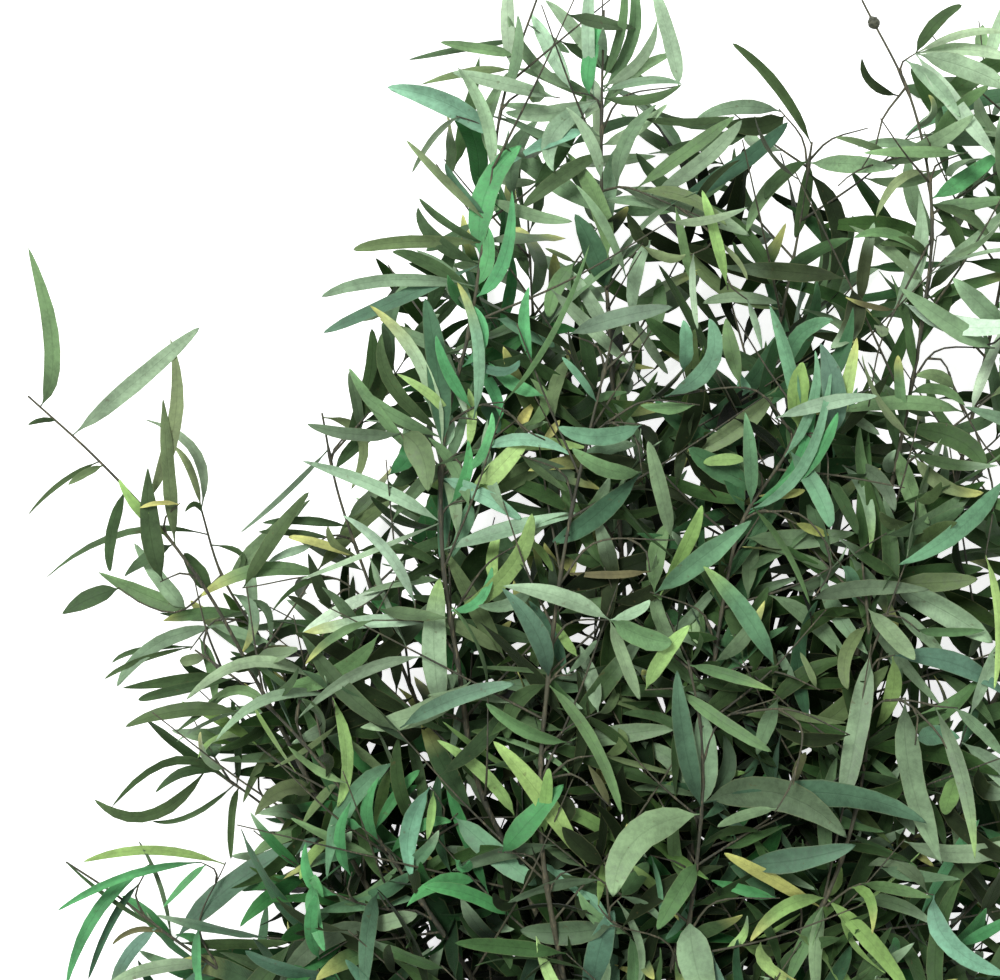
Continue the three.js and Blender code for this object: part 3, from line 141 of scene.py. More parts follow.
# Leaves at the edges and on the face of the bunch, for each stem by number: how far their tips rise above
# their bases, from and to, and the leaves, each as base u v, a point halfway u v, tip u v, width in plan
# steps, and tone. A second tone is the tip's.
LEAVES = {
    1: [
        ((-6, 14), """
        40 404 53 345 28 247 19 mid, 72 434 138 380 200 327 18 pale, 57 421 42 420 28 425 6 dark,
        96 463 61 483 28 515 6 dark, 100 466 84 474 68 485 8 olive, 124 490 111 534 110 572 12 dark,
        149 505 175 420 170 338 15 olive, 160 582 150 530 148 467 22 dark,
        170 540 140 508 122 479 11 lime, 177 545 168 470 163 398 15 olive,
        180 503 160 503 142 508 5 yellow"""),
    ],
    2: [
        ((-6, 14), """
        200 505 195 452 143 419 11 sage, 199 503 190 468 172 445 9 olive, 203 515 195 504 185 512 6 dark,
        212 545 243 556 228 582 6 dark, 238 590 254 615 241 655 13 sage+yellow,
        213 596 200 574 184 553 18 dark, 195 614 165 585 134 543 16 sage, 198 618 150 596 98 572 18 mid,
        205 535 122 534 44 580 8 dark, 228 620 195 614 163 621 13 mid+yellow,
        215 628 155 645 117 687 15 sage, 190 650 140 660 105 679 6 dark, 185 642 140 650 112 663 6 dark,
        118 588 90 599 62 614 20 dark, 222 674 172 681 122 688 12 dark, 245 603 266 608 270 645 9 slate,
        210 628 245 636 275 650 12 sage, 200 640 212 670 214 705 12 mid, 200 665 190 660 180 662 12 olive"""),
    ],
    3: [
        ((-6, 14), """
        323 415 362 438 351 490 11 olive, 326 452 286 493 240 533 6 slate,
        242 588 274 538 309 492 16 dark, 330 540 292 533 258 532 8 dark,
        350 560 318 543 288 537 9 yellow, 342 574 302 584 272 612 6 dark,
        330 612 320 586 308 553 14 black, 323 560 258 571 200 597 16 mid+yellow,
        366 432 356 400 349 372 11 slate, 352 560 336 545 328 526 9 olive,
        345 530 305 520 262 523 10 dark, 310 548 290 552 268 562 9 pale"""),
    ],
    4: [
        ((-6, 14), """
        440 522 378 487 302 461 14 pale, 430 522 362 556 300 580 6 sage,
        441 718 434 645 440 578 24 pale+lime, 441 455 424 368 370 306 15 pale+yellow,
        445 450 438 370 425 298 22 deep, 466 420 432 396 397 374 10 lime, 410 455 376 408 349 368 12 mid,
        440 440 385 410 360 388 13 mid, 400 432 352 434 307 424 13 slate,
        408 418 421 453 428 492 26 olive, 425 430 392 385 382 333 14 dark,
        482 290 488 258 486 225 14 emerald, 485 300 504 260 512 190 14 emerald,
        467 255 486 192 522 145 25 emerald, 462 240 405 242 353 250 13 olive,
        465 262 434 238 418 207 15 dark, 470 290 425 262 392 252 13 dark,
        462 285 388 280 321 297 13 sage, 462 262 388 304 323 333 15 blue,
        484 222 442 178 406 140 10 olive, 488 215 460 190 445 163 10 deep,
        480 240 445 222 419 198 8 dark, 456 116 434 137 412 173 6 slate, 500 140 450 105 387 87 22 teal,
        520 38 463 49 408 60 7 dark, 532 62 485 50 440 42 12 mid, 512 68 470 72 420 85 9 olive,
        560 98 505 84 452 72 14 sage, 508 68 508 20 510 -24 14 pale,
        372 620 335 636 305 665 9 mid+yellow, 430 612 365 622 300 635 13 pale+yellow,
        415 600 388 552 342 515 12 sage"""),
        ((4, 26), """
        464 612 508 572 532 513 18 lime, 452 550 515 528 583 513 17 pale,
        455 478 485 496 522 520 16 teal, 470 500 499 468 530 434 20 lime,
        480 450 528 440 572 456 14 teal, 400 728 455 699 515 684 17 blue,
        478 420 478 345 457 282 12 teal+yellow, 505 402 552 335 590 243 6 mid"""),
        ((-26, -8), """
        498 318 530 332 555 347 18 teal, 478 355 492 388 500 420 12 emerald,
        470 432 455 380 436 325 9 pale, 470 445 472 415 468 388 10 lime, 478 390 490 412 500 435 14 deep,
        525 432 545 405 530 378 12 mid, 510 438 522 420 535 402 12 yellow,
        545 440 552 430 560 420 9 yellow, 478 490 465 525 448 562 15 teal,
        498 590 492 560 500 530 12 lime, 530 538 542 552 553 572 8 lime, 448 465 445 510 440 560 14 deep,
        458 700 456 730 450 765 8 slate, 495 805 475 785 462 768 10 sage"""),
        ((0, 16), """
        470 400 448 372 436 335 12 emerald, 474 372 484 340 474 306 10 emerald,
        466 476 486 446 492 412 11 emerald, 452 500 466 474 468 440 12 emerald,
        470 360 500 372 520 360 10 deep, 450 612 480 600 492 566 10 emerald"""),
    ],
    5: [
        ((-6, 14), """
        572 92 550 48 530 12 17 pale, 588 72 572 27 545 0 14 sage, 592 92 588 32 592 -28 14 pale,
        585 108 589 62 602 17 16 emerald, 608 83 621 32 624 -20 10 mid, 622 90 633 35 630 -22 13 mid,
        612 88 640 60 657 20 12 sage, 679 86 671 45 652 -18 16 pale, 606 92 646 81 682 84 10 sage,
        604 100 646 100 682 84 11 dark, 592 108 548 114 505 112 16 sage, 588 110 553 134 554 172 20 sage,
        600 155 562 176 523 207 15 dark, 620 190 626 142 657 104 15 sage, 640 120 686 122 730 117 8 dark,
        642 182 690 150 735 116 15 mid, 652 188 704 160 742 120 15 sage, 678 195 740 163 788 122 18 deep,
        698 205 712 180 740 160 8 black, 642 192 688 198 727 226 13 olive,
        618 198 685 206 750 236 20 sage, 728 290 716 240 702 190 12 lime,
        607 292 595 252 575 214 24 deep, 600 332 590 301 573 272 15 pale,
        633 318 636 275 650 240 15 sage, 572 262 556 288 549 318 16 mid, 575 268 560 255 545 248 5 olive,
        650 250 636 232 626 212 12 black, 650 255 642 240 628 226 12 black,
        652 255 668 258 686 254 10 olive, 672 222 684 248 690 278 10 mid, 690 255 693 290 698 330 7 sage,
        722 238 737 260 747 280 6 olive, 640 328 653 352 668 374 11 slate,
        644 350 632 336 621 325 14 olive, 748 300 756 325 762 350 7 sage, 633 408 618 378 598 348 5 olive"""),
    ],
    6: [
        ((-6, 14), """
        812 142 776 86 732 43 12 dark, 800 160 768 190 745 235 14 mid, 798 160 778 178 765 200 12 dark,
        800 162 804 200 795 238 14 dark, 779 109 738 107 697 118 15 sage,
        786 112 760 127 722 124 20 black, 770 305 722 288 690 252 15 olive,
        828 172 838 225 828 284 19 black, 770 300 738 298 702 304 12 pale"""),
        ((-10, 10), """
        826 190 826 245 817 288 7 black"""),
    ],
    7: [
        ((-6, 14), """
        893 93 871 83 862 58 9 black, 918 52 936 24 962 5 14 dark, 925 47 965 34 1003 33 9 pale,
        935 50 970 50 1008 60 14 pale, 935 62 972 70 1010 90 22 sage, 908 66 938 88 960 118 15 pale,
        936 58 956 110 996 162 17 pale, 968 152 915 152 863 153 12 mid, 890 153 862 147 832 141 8 dark,
        928 170 896 182 876 218 9 olive, 934 200 968 176 1003 150 18 emerald,
        934 202 968 205 1003 200 12 mid, 934 205 964 214 990 237 14 dark, 930 258 890 236 852 239 12 mid,
        935 262 907 243 880 245 12 dark"""),
        ((4, 26), """
        995 348 950 324 900 288 20 sage, 1010 328 978 302 953 278 20 sage,
        955 392 938 376 916 376 13 olive, 895 308 868 306 845 297 7 brown+yellow,
        897 425 900 388 898 355 11 mid+yellow, 965 416 905 403 840 412 16 mid,
        925 430 958 440 985 470 22 dark, 897 450 910 490 930 525 18 mid,
        842 465 866 500 870 550 13 pale+lime, 855 452 878 478 895 512 16 slate,
        1010 478 958 530 898 565 20 teal, 895 585 946 612 993 643 26 sage,
        893 588 938 583 978 579 20 olive, 985 560 999 620 994 690 9 lime"""),
    ],
    11: [
        ((4, 26), """
        745 515 798 462 815 370 12 emerald, 750 512 806 462 832 360 11 teal,
        755 505 808 466 838 412 14 emerald, 745 502 751 458 745 412 14 teal,
        787 418 787 362 768 306 14 teal, 836 440 834 388 820 343 24 blue,
        790 460 812 405 815 350 11 teal, 785 420 797 390 803 362 22 lime,
        845 430 846 385 855 338 13 lime+yellow, 775 418 830 402 878 396 14 sage,
        806 460 818 493 830 528 18 teal, 757 512 786 550 810 605 6 mid, 650 592 704 556 752 520 24 teal,
        664 582 688 541 702 505 15 lime, 781 668 744 612 703 566 19 teal+lime,
        705 658 744 637 765 600 15 sage+yellow, 662 397 709 364 709 318 19 teal,
        683 372 686 345 683 320 14 teal"""),
        ((-26, -8), """
        745 410 743 390 740 372 14 teal, 734 372 730 348 726 318 15 mid, 747 460 724 460 703 463 13 lime,
        770 505 785 494 802 490 9 yellow, 797 524 815 531 829 535 10 yellow,
        790 420 793 442 788 466 12 mid, 828 485 845 505 858 535 12 dark, 842 566 852 582 858 605 16 teal,
        812 600 860 588 930 590 16 slate, 652 580 657 552 671 520 18 mid,
        820 690 810 672 800 652 7 olive, 795 676 785 665 778 650 10 sage"""),
    ],
    12: [
        ((-6, 14), """
        225 690 175 690 138 700 11 dark, 235 715 180 711 125 727 16 dark,
        318 676 250 662 186 700 12 sage, 335 698 268 698 215 742 11 sage, 232 692 205 710 177 731 7 dark,
        280 700 235 690 196 720 10 mid"""),
        ((4, 26), """
        458 813 494 852 537 885 24 teal, 516 817 485 774 437 740 14 lime,
        402 757 346 806 327 880 20 teal, 430 786 409 832 413 880 19 teal,
        349 705 347 757 337 808 13 lime, 424 795 431 818 427 840 9 lime,
        372 925 318 942 280 985 22 slate, 366 936 390 922 418 914 17 sage,
        378 892 367 935 365 1000 18 blue, 309 880 314 915 325 952 15 emerald"""),
        ((-26, -8), """
        338 728 308 748 273 768 6 olive, 328 842 312 855 300 880 10 lime,
        305 870 315 878 325 895 10 emerald, 330 905 360 898 400 865 9 mid,
        383 838 390 855 398 872 8 sage, 385 765 382 795 375 830 12 lime,
        345 780 322 798 302 825 10 olive, 352 742 368 758 385 772 10 olive,
        440 890 437 915 440 940 26 deep, 388 588 345 607 302 633 12 pale"""),
        ((0, 16), """
        372 850 366 812 380 776 13 emerald, 352 872 340 838 352 800 12 emerald,
        398 850 420 826 452 822 12 emerald, 330 905 310 880 306 842 12 emerald,
        388 820 398 792 420 770 11 emerald, 318 960 312 925 318 890 14 emerald"""),
    ],
    13: [
        ((-6, 14), """
        178 938 240 880 320 838 25 blue, 226 862 152 850 83 862 10 lime,
        200 862 126 876 57 911 9 emerald, 150 864 96 913 66 988 13 emerald,
        132 882 112 922 88 980 8 deep, 180 922 160 885 138 840 5 slate, 160 937 112 900 66 862 5 dark,
        165 940 136 930 112 945 6 brown, 178 943 235 944 290 942 12 dark,
        205 972 155 968 108 985 14 sage, 200 928 197 960 203 1000 10 emerald"""),
        ((-6, 10), """
        206 868 186 882 163 908 8 emerald"""),
    ],
    14: [
        ((4, 26), """
        706 803 778 793 847 838 34 slate, 712 802 830 792 925 822 26 blue,
        700 812 637 838 613 897 32 pale, 702 806 684 740 677 670 20 blue,
        704 806 706 757 700 712 24 sage, 645 690 664 655 690 625 16 lime, 680 690 722 722 772 752 13 mid,
        682 664 730 676 775 691 12 mid+lime, 588 1010 598 955 614 910 26 blue,
        692 918 696 965 712 1012 34 pale+lime, 694 860 678 893 657 930 20 mid"""),
        ((-26, -8), """
        683 662 702 635 698 606 6 dark, 780 697 766 728 757 755 16 sage, 765 700 800 716 848 723 9 olive,
        850 735 810 740 775 728 14 black, 712 800 728 770 723 735 16 slate,
        793 785 798 768 806 752 9 brown, 700 800 678 765 640 742 20 sage,
        700 795 660 788 632 790 8 slate, 610 925 565 933 520 930 24 slate,
        612 1010 612 960 614 915 14 teal, 603 918 578 888 538 862 13 teal,
        598 905 603 872 613 838 8 lime, 622 896 645 905 662 922 8 sage, 650 855 660 890 660 915 6 teal,
        618 892 635 880 648 862 18 mid, 700 893 685 915 665 940 10 teal, 633 912 640 945 638 985 8 sage,
        605 862 580 845 562 825 18 black, 775 812 745 815 717 827 10 sage,
        780 898 755 880 728 862 16 deep, 785 905 745 890 710 880 12 emerald"""),
    ],
    15: [
        ((4, 26), """
        867 655 857 730 842 806 22 sage, 906 698 911 780 942 864 27 sage,
        806 897 768 877 724 853 13 yellow, 834 899 783 908 750 942 14 lime+yellow,
        843 904 873 945 910 995 18 lime, 934 895 948 942 1005 975 20 teal,
        742 864 798 860 856 845 24 blue, 862 884 896 889 932 898 12 mid,
        850 888 870 900 872 935 11 lime+yellow, 830 908 804 945 785 990 16 mid,
        833 908 815 950 818 1000 15 sage, 880 605 896 640 915 660 20 sage,
        858 625 846 655 848 690 14 olive, 937 707 963 780 975 860 15 sage+lime"""),
        ((-26, -8), """
        895 655 892 695 876 728 16 lime, 900 610 920 632 945 655 14 sage,
        865 620 900 660 940 705 12 sage, 832 900 838 880 837 862 10 lime, 795 925 775 930 757 938 5 lime,
        930 872 900 864 868 866 14 slate, 905 662 955 664 1005 695 22 blue,
        915 745 935 735 960 738 20 teal, 958 708 980 730 1003 755 12 sage,
        920 632 945 632 985 630 10 mid, 958 775 950 795 945 815 18 lime"""),
    ],
    16: [
        ((4, 26), """
        565 333 618 318 673 307 17 slate, 645 425 600 437 558 427 17 teal,
        675 540 660 488 648 441 16 sage, 642 473 605 469 572 448 16 mid, 613 620 560 597 503 586 18 pale,
        567 683 537 634 502 588 22 blue, 618 622 645 637 672 642 22 mid, 622 622 636 612 650 600 11 pale,
        610 620 624 660 640 700 14 sage, 562 688 592 740 622 815 12 mid, 588 866 539 794 493 741 20 lime,
        545 838 546 800 549 768 13 lime, 498 852 527 824 564 784 24 emerald,
        572 742 525 730 486 703 14 mid, 588 402 580 378 562 357 8 teal"""),
        ((-26, -8), """
        588 402 605 396 628 392 9 mid, 700 405 668 409 640 405 13 mid,
        520 455 560 472 602 490 15 slate+yellow, 515 462 542 473 568 492 8 dark,
        630 490 590 520 552 542 22 deep, 650 572 610 575 565 573 8 brown,
        572 675 552 635 528 600 14 deep, 600 712 592 680 580 645 16 sage,
        580 655 565 640 555 622 10 lime, 575 670 585 655 597 640 7 sage,
        604 720 612 702 620 675 10 olive, 568 690 525 670 475 667 5 dark,
        560 730 525 720 492 699 11 dark, 572 775 540 752 495 737 6 mid, 605 755 640 765 690 778 6 olive,
        622 756 622 744 618 728 12 olive, 612 808 600 785 588 765 8 brown,
        530 680 515 705 508 740 16 dark"""),
    ],
    17: [
        ((-6, 14), """
        236 772 172 761 111 808 10 dark, 225 763 185 772 155 793 11 dark, 203 771 151 815 94 799 13 dark,
        222 801 190 816 152 821 6 dark, 245 775 232 815 231 860 8 dark, 275 742 257 770 243 803 9 olive,
        330 820 284 836 252 856 14 mid"""),
    ],
}

# The outline that foliage placed by rule keeps inside, as plan points.
OUTLINE = [
    (400, 1180), (250, 1120), (120, 1050), (78, 990), (84, 925), (130, 888), (215, 872), (232, 830),
    (205, 785), (150, 745), (132, 712), (128, 668), (150, 640), (132, 600), (112, 572), (150, 548),
    (146, 500), (176, 470), (205, 500), (222, 552), (258, 548), (262, 520), (300, 496), (334, 500),
    (352, 440), (356, 385), (378, 335), (340, 312), (350, 288), (392, 282), (372, 254), (432, 240),
    (424, 205), (446, 186), (420, 160), (412, 140), (440, 120), (402, 92), (440, 74), (452, 48),
    (492, 44), (502, -10), (520, -48), (672, -48), (684, 60), (702, 108), (752, 92), (800, 140),
    (838, 132), (868, 150), (880, 118), (905, 70), (922, 28), (962, 0), (1010, -40), (1090, -48),
    (1165, 30), (1215, 180), (1240, 380), (1235, 590), (1200, 780), (1150, 930), (1080, 1040),
    (980, 1120), (860, 1175), (740, 1205), (560, 1205),
]

# Openings in the foliage where the light shows through, (u, v, radius in plan steps).
PEEPS = [
    (400, 665, 15), (585, 545, 12), (592, 630, 14), (570, 590, 8), (636, 545, 9), (606, 558, 7),
    (965, 370, 19), (920, 350, 10), (808, 240, 10), (792, 292, 9), (873, 290, 6), (905, 265, 8),
    (962, 245, 11), (880, 418, 10), (905, 515, 9), (978, 525, 9), (972, 440, 12), (945, 567, 6),
    (962, 645, 11), (950, 698, 11), (232, 790, 8), (505, 490, 7), (490, 515, 8), (541, 570, 6),
    (850, 360, 9), (830, 330, 7), (545, 215, 9), (560, 285, 8), (700, 290, 8), (735, 345, 8),
    (640, 350, 7), (520, 255, 7), (845, 200, 12), (905, 215, 9), (940, 320, 6),
]

# Where the foliage is thinner, (u, v, radius in plan steps, share of its leaves that are there).
THIN = [
    (300, 560, 100, 0.5), (215, 640, 70, 0.6), (180, 700, 60, 0.7), (560, 590, 85, 0.7), (850, 200, 100, 0.6),
    (930, 400, 90, 0.6), (960, 260, 70, 0.6), (540, 270, 80, 0.75), (640, 50, 90, 0.75), (760, 350, 80, 0.75),
    (960, 640, 90, 0.7), (500, 490, 60, 0.7), (240, 800, 50, 0.6), (900, 540, 60, 0.7), (400, 640, 60, 0.6),
]

# The tones of the leaves, as they look in even light. Black stands for leaves deep in shade: a painted shade.
TONES = {
    "black": (44, 56, 34), "dark": (70, 94, 58), "deep": (64, 100, 72), "slate": (92, 114, 86),
    "olive": (108, 128, 84), "mid": (100, 134, 86), "sage": (130, 158, 122), "pale": (152, 182, 144),
    "teal": (112, 160, 124), "emerald": (82, 152, 94), "lime": (150, 186, 110), "yellow": (192, 198, 116),
    "blue": (88, 122, 98), "brown": (98, 98, 66),
}

# How often each tone comes among leaves placed by rule: at the tips, halfway, and near the tie.
MIXES = [
    (0, {"sage": 34, "pale": 24, "mid": 24, "olive": 5, "dark": 9, "teal": 5}),
    (330, {"mid": 26, "sage": 22, "dark": 20, "olive": 14, "pale": 8, "teal": 5, "lime": 4, "black": 4}),
    (660, {"dark": 26, "mid": 22, "slate": 10, "sage": 9, "olive": 9, "deep": 10, "black": 9, "lime": 5}),
    (860, {"dark": 24, "deep": 20, "mid": 18, "slate": 10, "blue": 12, "black": 9, "lime": 5, "sage": 2}),
]

# Patches of one colour: (u, v, reach across, reach along, share of its leaves, tone). The black patches are
# painted shade where the bunch is deep.
PATCHES = [
    (492, 220, 30, 110, 0.7, "emerald"), (475, 430, 40, 130, 0.6, "emerald"), (790, 430, 60, 80, 0.45, "teal"),
    (380, 820, 75, 60, 0.7, "emerald"), (120, 920, 80, 80, 0.6, "emerald"), (320, 930, 50, 80, 0.45, "emerald"),
    (845, 905, 70, 60, 0.6, "lime"), (970, 60, 90, 70, 0.4, "pale"), (960, 320, 60, 60, 0.4, "pale"),
    (760, 210, 110, 90, 0.5, "black"), (600, 60, 90, 90, 0.4, "pale"), (990, 180, 60, 40, 0.3, "emerald"),
    (760, 800, 110, 40, 0.4, "blue"), (740, 700, 120, 90, 0.3, "dark"), (540, 560, 70, 60, 0.2, "lime"),
    (250, 740, 110, 60, 0.4, "dark"), (500, 460, 60, 60, 0.25, "lime"), (850, 600, 90, 60, 0.3, "dark"),
    (765, 575, 90, 100, 0.55, "black"), (365, 640, 50, 70, 0.5, "black"), (690, 450, 50, 60, 0.5, "black"),
    (555, 720, 60, 90, 0.4, "black"), (600, 385, 50, 40, 0.4, "black"), (500, 900, 200, 60, 0.25, "black"),
    (640, 850, 60, 60, 0.35, "black"), (740, 880, 90, 50, 0.35, "emerald"), (960, 930, 70, 60, 0.5, "emerald"),
]

# Painted light and shade: where more or less light reaches the leaves, as a share of their colour: (u, v, reach
# across, reach along, share of the light).
LIGHTS = [
    (780, 860, 300, 170, 0.7), (870, 560, 170, 160, 0.9), (500, 90, 110, 150, 1.25), (455, 935, 60, 50, 0.4),
    (735, 500, 70, 100, 0.78), (860, 425, 45, 45, 1.55), (875, 150, 50, 45, 1.7), (960, 890, 60, 60, 1.7),
    (470, 400, 45, 70, 1.3), (655, 300, 45, 45, 1.6), (385, 810, 80, 60, 0.9), (370, 580, 40, 40, 1.4),
    (250, 480, 80, 60, 1.3), (840, 225, 40, 35, 0.75), (985, 100, 30, 60, 1.7), (985, 370, 30, 50, 1.6),
    (790, 590, 60, 70, 0.8), (525, 460, 60, 60, 1.25), (985, 510, 25, 40, 1.6), (290, 440, 40, 40, 1.6),
]

# The studio: soft lights as (name, direction, strength, spread in degrees), an even sky, and a floor that
# glows a little. The floor's size is in millimetres.
SUNS = [("key", (0.4, -0.45, -1.0), 2.9, 20.0), ("fill", (-0.7, 0.5, -1.0), 0.4, 60.0)]
SKY = 0.4
WHITE = (1.0, 1.0, 1.0, 1.0)
FLOOR = {"glow": 0.78, "size": 24000, "dark": (0.86, 0.86, 0.86, 1.0), "light": (0.9, 0.9, 0.9, 1.0)}

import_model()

UP = np.array([0.0, 0.0, 1.0])
TOWARD_TIPS = np.array([0.0, 1.0, 0.0])


def draw_from(seed):
    """A seeded random draw between two bounds."""
    state = seed & 0xFFFFFFFF

    def draw(low, high):
        nonlocal state
        state = (state * 1664525 + 1013904223) & 0xFFFFFFFF
        return low + (high - low) * state / 4294967296

    for _ in range(3):
        draw(0, 1)
    return draw


def unit(v):
    return v / (math.sqrt(float(v @ v)) or 1.0)


def turned(v, axis, angle):
    """v turned round a unit axis."""
    return (
        v * math.cos(angle)
        + np.cross(axis, v) * math.sin(angle)
        + axis * float(axis @ v) * (1 - math.cos(angle))
    )


def at(u, v, z):
    """The point that the eye sees at plan point u, v, at height z; z may be an array."""
    nearer = (PLAN["eye"] - (z - PLAN["midZ"])) / PLAN["eye"]
    x = (PLAN["midU"] - PLAN["tieU"] + (u - PLAN["midU"]) * nearer) * PLAN["step"]
    y = (PLAN["tieV"] - PLAN["midV"] - (v - PLAN["midV"]) * nearer) * PLAN["step"]
    return np.stack([x, y, z + 0.0 * x], axis=-1)


def plan_of(p):
    """The plan point at which the eye sees a point."""
    nearer = (PLAN["eye"] - (p[2] - PLAN["midZ"])) / PLAN["eye"]
    return (
        PLAN["midU"] + (p[0] / PLAN["step"] - (PLAN["midU"] - PLAN["tieU"])) / nearer,
        PLAN["midV"] - (p[1] / PLAN["step"] - (PLAN["tieV"] - PLAN["midV"])) / nearer,
    )


def inside_outline(u, v):
    inside = False
    for (u1, v1), (u2, v2) in zip(OUTLINE, OUTLINE[1:] + OUTLINE[:1]):
        if (v1 > v) != (v2 > v) and u < u1 + ((v - v1) / (v2 - v1)) * (u2 - u1):
            inside = not inside
    return inside


def in_peep(u, v):
    return any(math.hypot(u - pu, v - pv) < r for pu, pv, r in PEEPS)


def share_kept(u, v):
    """The share of the leaves that are there, near plan point u, v."""
    return min((share for tu, tv, r, share in THIN if math.hypot(u - tu, v - tv) < r), default=1)


def eased(p):
    """Height is eased off toward the floor and toward the ceiling, and never passes them."""
    z = p[2] - ROOM["floor"]
    if z < ROOM["ease"]:
        z = ROOM["ease"] * math.exp((z - ROOM["ease"]) / ROOM["ease"])
    knee = ROOM["ceiling"] - ROOM["easeTop"]
    if z > knee:
        z = ROOM["ceiling"] - ROOM["easeTop"] * math.exp(-(z - knee) / ROOM["easeTop"])
    return np.array([p[0], p[1], z + ROOM["floor"]])


def bend(a, b, c, t):
    """A point on the bend from a to c that b pulls at."""
    start = a + (b - a) * t
    return start + (b + (c - b) * t - start) * t


def through(points, place, t):
    """A smooth curve through the points, from the point number place to the next."""
    a, b = points[place], points[place + 1]
    before = points[place - 1] if place > 0 else 2 * a - b
    after = points[place + 2] if place + 2 < len(points) else 2 * b - a
    gaps = [math.sqrt(math.dist(p, q)) for p, q in ((before, a), (a, b), (b, after))]
    steer_a = ((a - before) / gaps[0] - (b - before) / (gaps[0] + gaps[1]) + (b - a) / gaps[1]) * gaps[1]
    steer_b = ((b - a) / gaps[1] - (after - a) / (gaps[1] + gaps[2]) + (after - b) / gaps[2]) * gaps[1]
    return (
        a
        + steer_a * t
        + (3 * (b - a) - 2 * steer_a - steer_b) * t**2
        + (2 * (a - b) + steer_a + steer_b) * t**3
    )


class Wood:
    """A stem or twig: the points of its solid, and the smooth line drawn through them.

    Twigs and leaves grow on it from the distance first. A twig has a parent, which it leaves at root_at.
    """

    def __init__(self, points, first, parent=None, root_at=0.0):
        self.points = np.array(points)
        self.first = first
        self.spans = [math.dist(p, q) for p, q in zip(self.points, self.points[1:])]
        self.length = sum(self.spans)
        self.smooth_points = self.points.copy()
        self.parent = parent
        self.root_at = root_at
        self.tone = None
        if parent:
            self.smooth_points[0] = parent.smooth(root_at)
        steps = math.floor((self.length - first) / WOOD_STEP) + 1
        self.steps = [first + WOOD_STEP * i for i in range(steps)]
        self.step_points = np.array([self.along(s)[0] for s in self.steps])

    def place(self, s):
        """The span that holds distance s, and the share of it."""
        left = s
        for i, span in enumerate(self.spans):
            if left <= span or i + 1 == len(self.spans):
                return i, min(left / span, 1)
            left -= span

    def along(self, s):
        """The point of the solid's line at distance s, and the way that the line runs there."""
        i, share = self.place(s)
        a, b = self.points[i], self.points[i + 1]
        return a + (b - a) * share, unit(b - a)

    def smooth(self, s):
        """The point of the smooth line at distance s."""
        i, share = self.place(s)
        return through(self.smooth_points, i, share)


def stem_points(slot, cut, route):
    """A stem's line: straight through the tie, then spreading, then along its route."""
    middle = TIE["outer"] * math.cos(math.pi / TIE["sides"])
    x = slot[0] * SLOT
    z = slot[1] * SLOT * math.sqrt(3) / 2
    spread = np.array([x * STEM["spreadX"], STEM["spreadY"], middle + STEM["lift"] + z * STEM["spreadZ"]])
    straight = [np.array([x, y, middle + z]) for y in (-cut, -TIE["reach"], TIE["reach"])]
    fan = [straight[2], spread] + [at(*p) for p in route]
    pieces = STEM["smooth"] * (len(route) + 1)
    fine = []
    for i in range(pieces + 1):
        share = (len(fan) - 1) * i / pieces
        place = min(math.floor(share), len(fan) - 2)
        fine.append(through(fan, place, share - place))
    line = Wood(fine, 0)
    return straight + [line.along(line.length * i / STEM["pieces"])[0] for i in range(1, STEM["pieces"] + 1)]


def nearest_wood(wood, u, v):
    """The wood that lies nearest to plan point u, v: the gap, the point, the line and how far along."""
    best = (math.inf, None, None, 0)
    for line in wood:
        points = line.step_points
        offsets = points - at(u, v, points[:, 2])
        gaps = np.sqrt((offsets**2).sum(axis=1))
        i = int(gaps.argmin())
        if gaps[i] < best[0]:
            best = (gaps[i], points[i], line, line.steps[i])
    return best


def curved(root, pull, end):
    return [bend(root, pull, end, i / RULE["twigPieces"]) for i in range(RULE["twigPieces"] + 1)]


def twig_to(near, u, v):
    """A twig that leaves the wood a little below its nearest point and bends to u, v."""
    gap, point, line, s = near
    start = max(line.first, s - PLACED["twigBack"] * gap)
    root, way = line.along(start)
    end = at(u, v, point[2] + min(PLACED["twigRise"] * gap, PLACED["mostRise"]))
    reach = math.dist(root, end)
    points = curved(root, root + way * PLACED["twigPull"] * reach, end)
    return Wood(points, PLACED["twigBare"] * reach, line, start)


def leaf_from(base, via, tip, width, face, line, s, tone=None):
    """A leaf on the wood called line. Its midline bends evenly from base through via to tip, and its
    face looks along face. A listed leaf has a tone of its own.
    """
    return {
        "base": base, "pull": 2 * via - (base + (tip - base) * 0.5), "tip": tip, "width": width,
        "face": face, "line": line, "s": s, "placed": tone is not None, "tone": tone,
    }


def midline(leaf, t):
    return bend(leaf["base"], leaf["pull"], leaf["tip"], t)


def sideways(way, turn, height):
    """A direction square to way, turned round it, and flattened toward the floor's plane."""
    level = unit(np.cross(way, UP))
    steep = np.cross(level, way)
    return unit(level * math.cos(turn) + steep * height * math.sin(turn))


def grow_stem(stem, number):
    """All of one stem's wood and leaves, the listed ones first."""
    draw = draw_from(SEEDS["growth"] * number)
    slot, cut, route = stem
    main = Wood(stem_points(slot, cut, route), cut + RULE["bare"])
    wood = [main]
    for owner, way in SPRIGS:
        if owner == number:
            _, point, line, s = nearest_wood(wood, way[0][0], way[0][1])
            wood.append(Wood([point] + [at(*p) for p in way[1:]], 0, line, s))
    leaves = []
    for rises, rows in LEAVES.get(number, []):
        for row in rows.split(","):
            *numbers, tone = row.split()
            bu, bv, mu, mv, tu, tv, width = map(int, numbers)
            rise = draw(*rises)
            roll = draw(*PLACED["roll"])
            near = nearest_wood(wood, bu, bv)
            if near[0] > PLACED["stalk"]:
                wood.append(twig_to(near, bu, bv))
            _, point, line, s = nearest_wood(wood, bu, bv)
            via = at(mu, mv, point[2] + PLACED["middle"] * rise)
            tip = at(tu, tv, point[2] + rise)
            face = turned(UP, unit(tip - point), roll)
            leaves.append(leaf_from(point, via, tip, width * PLAN["step"], face, line, s, tone))
    grow_by_rule(main, wood, leaves, draw)
    return wood, leaves


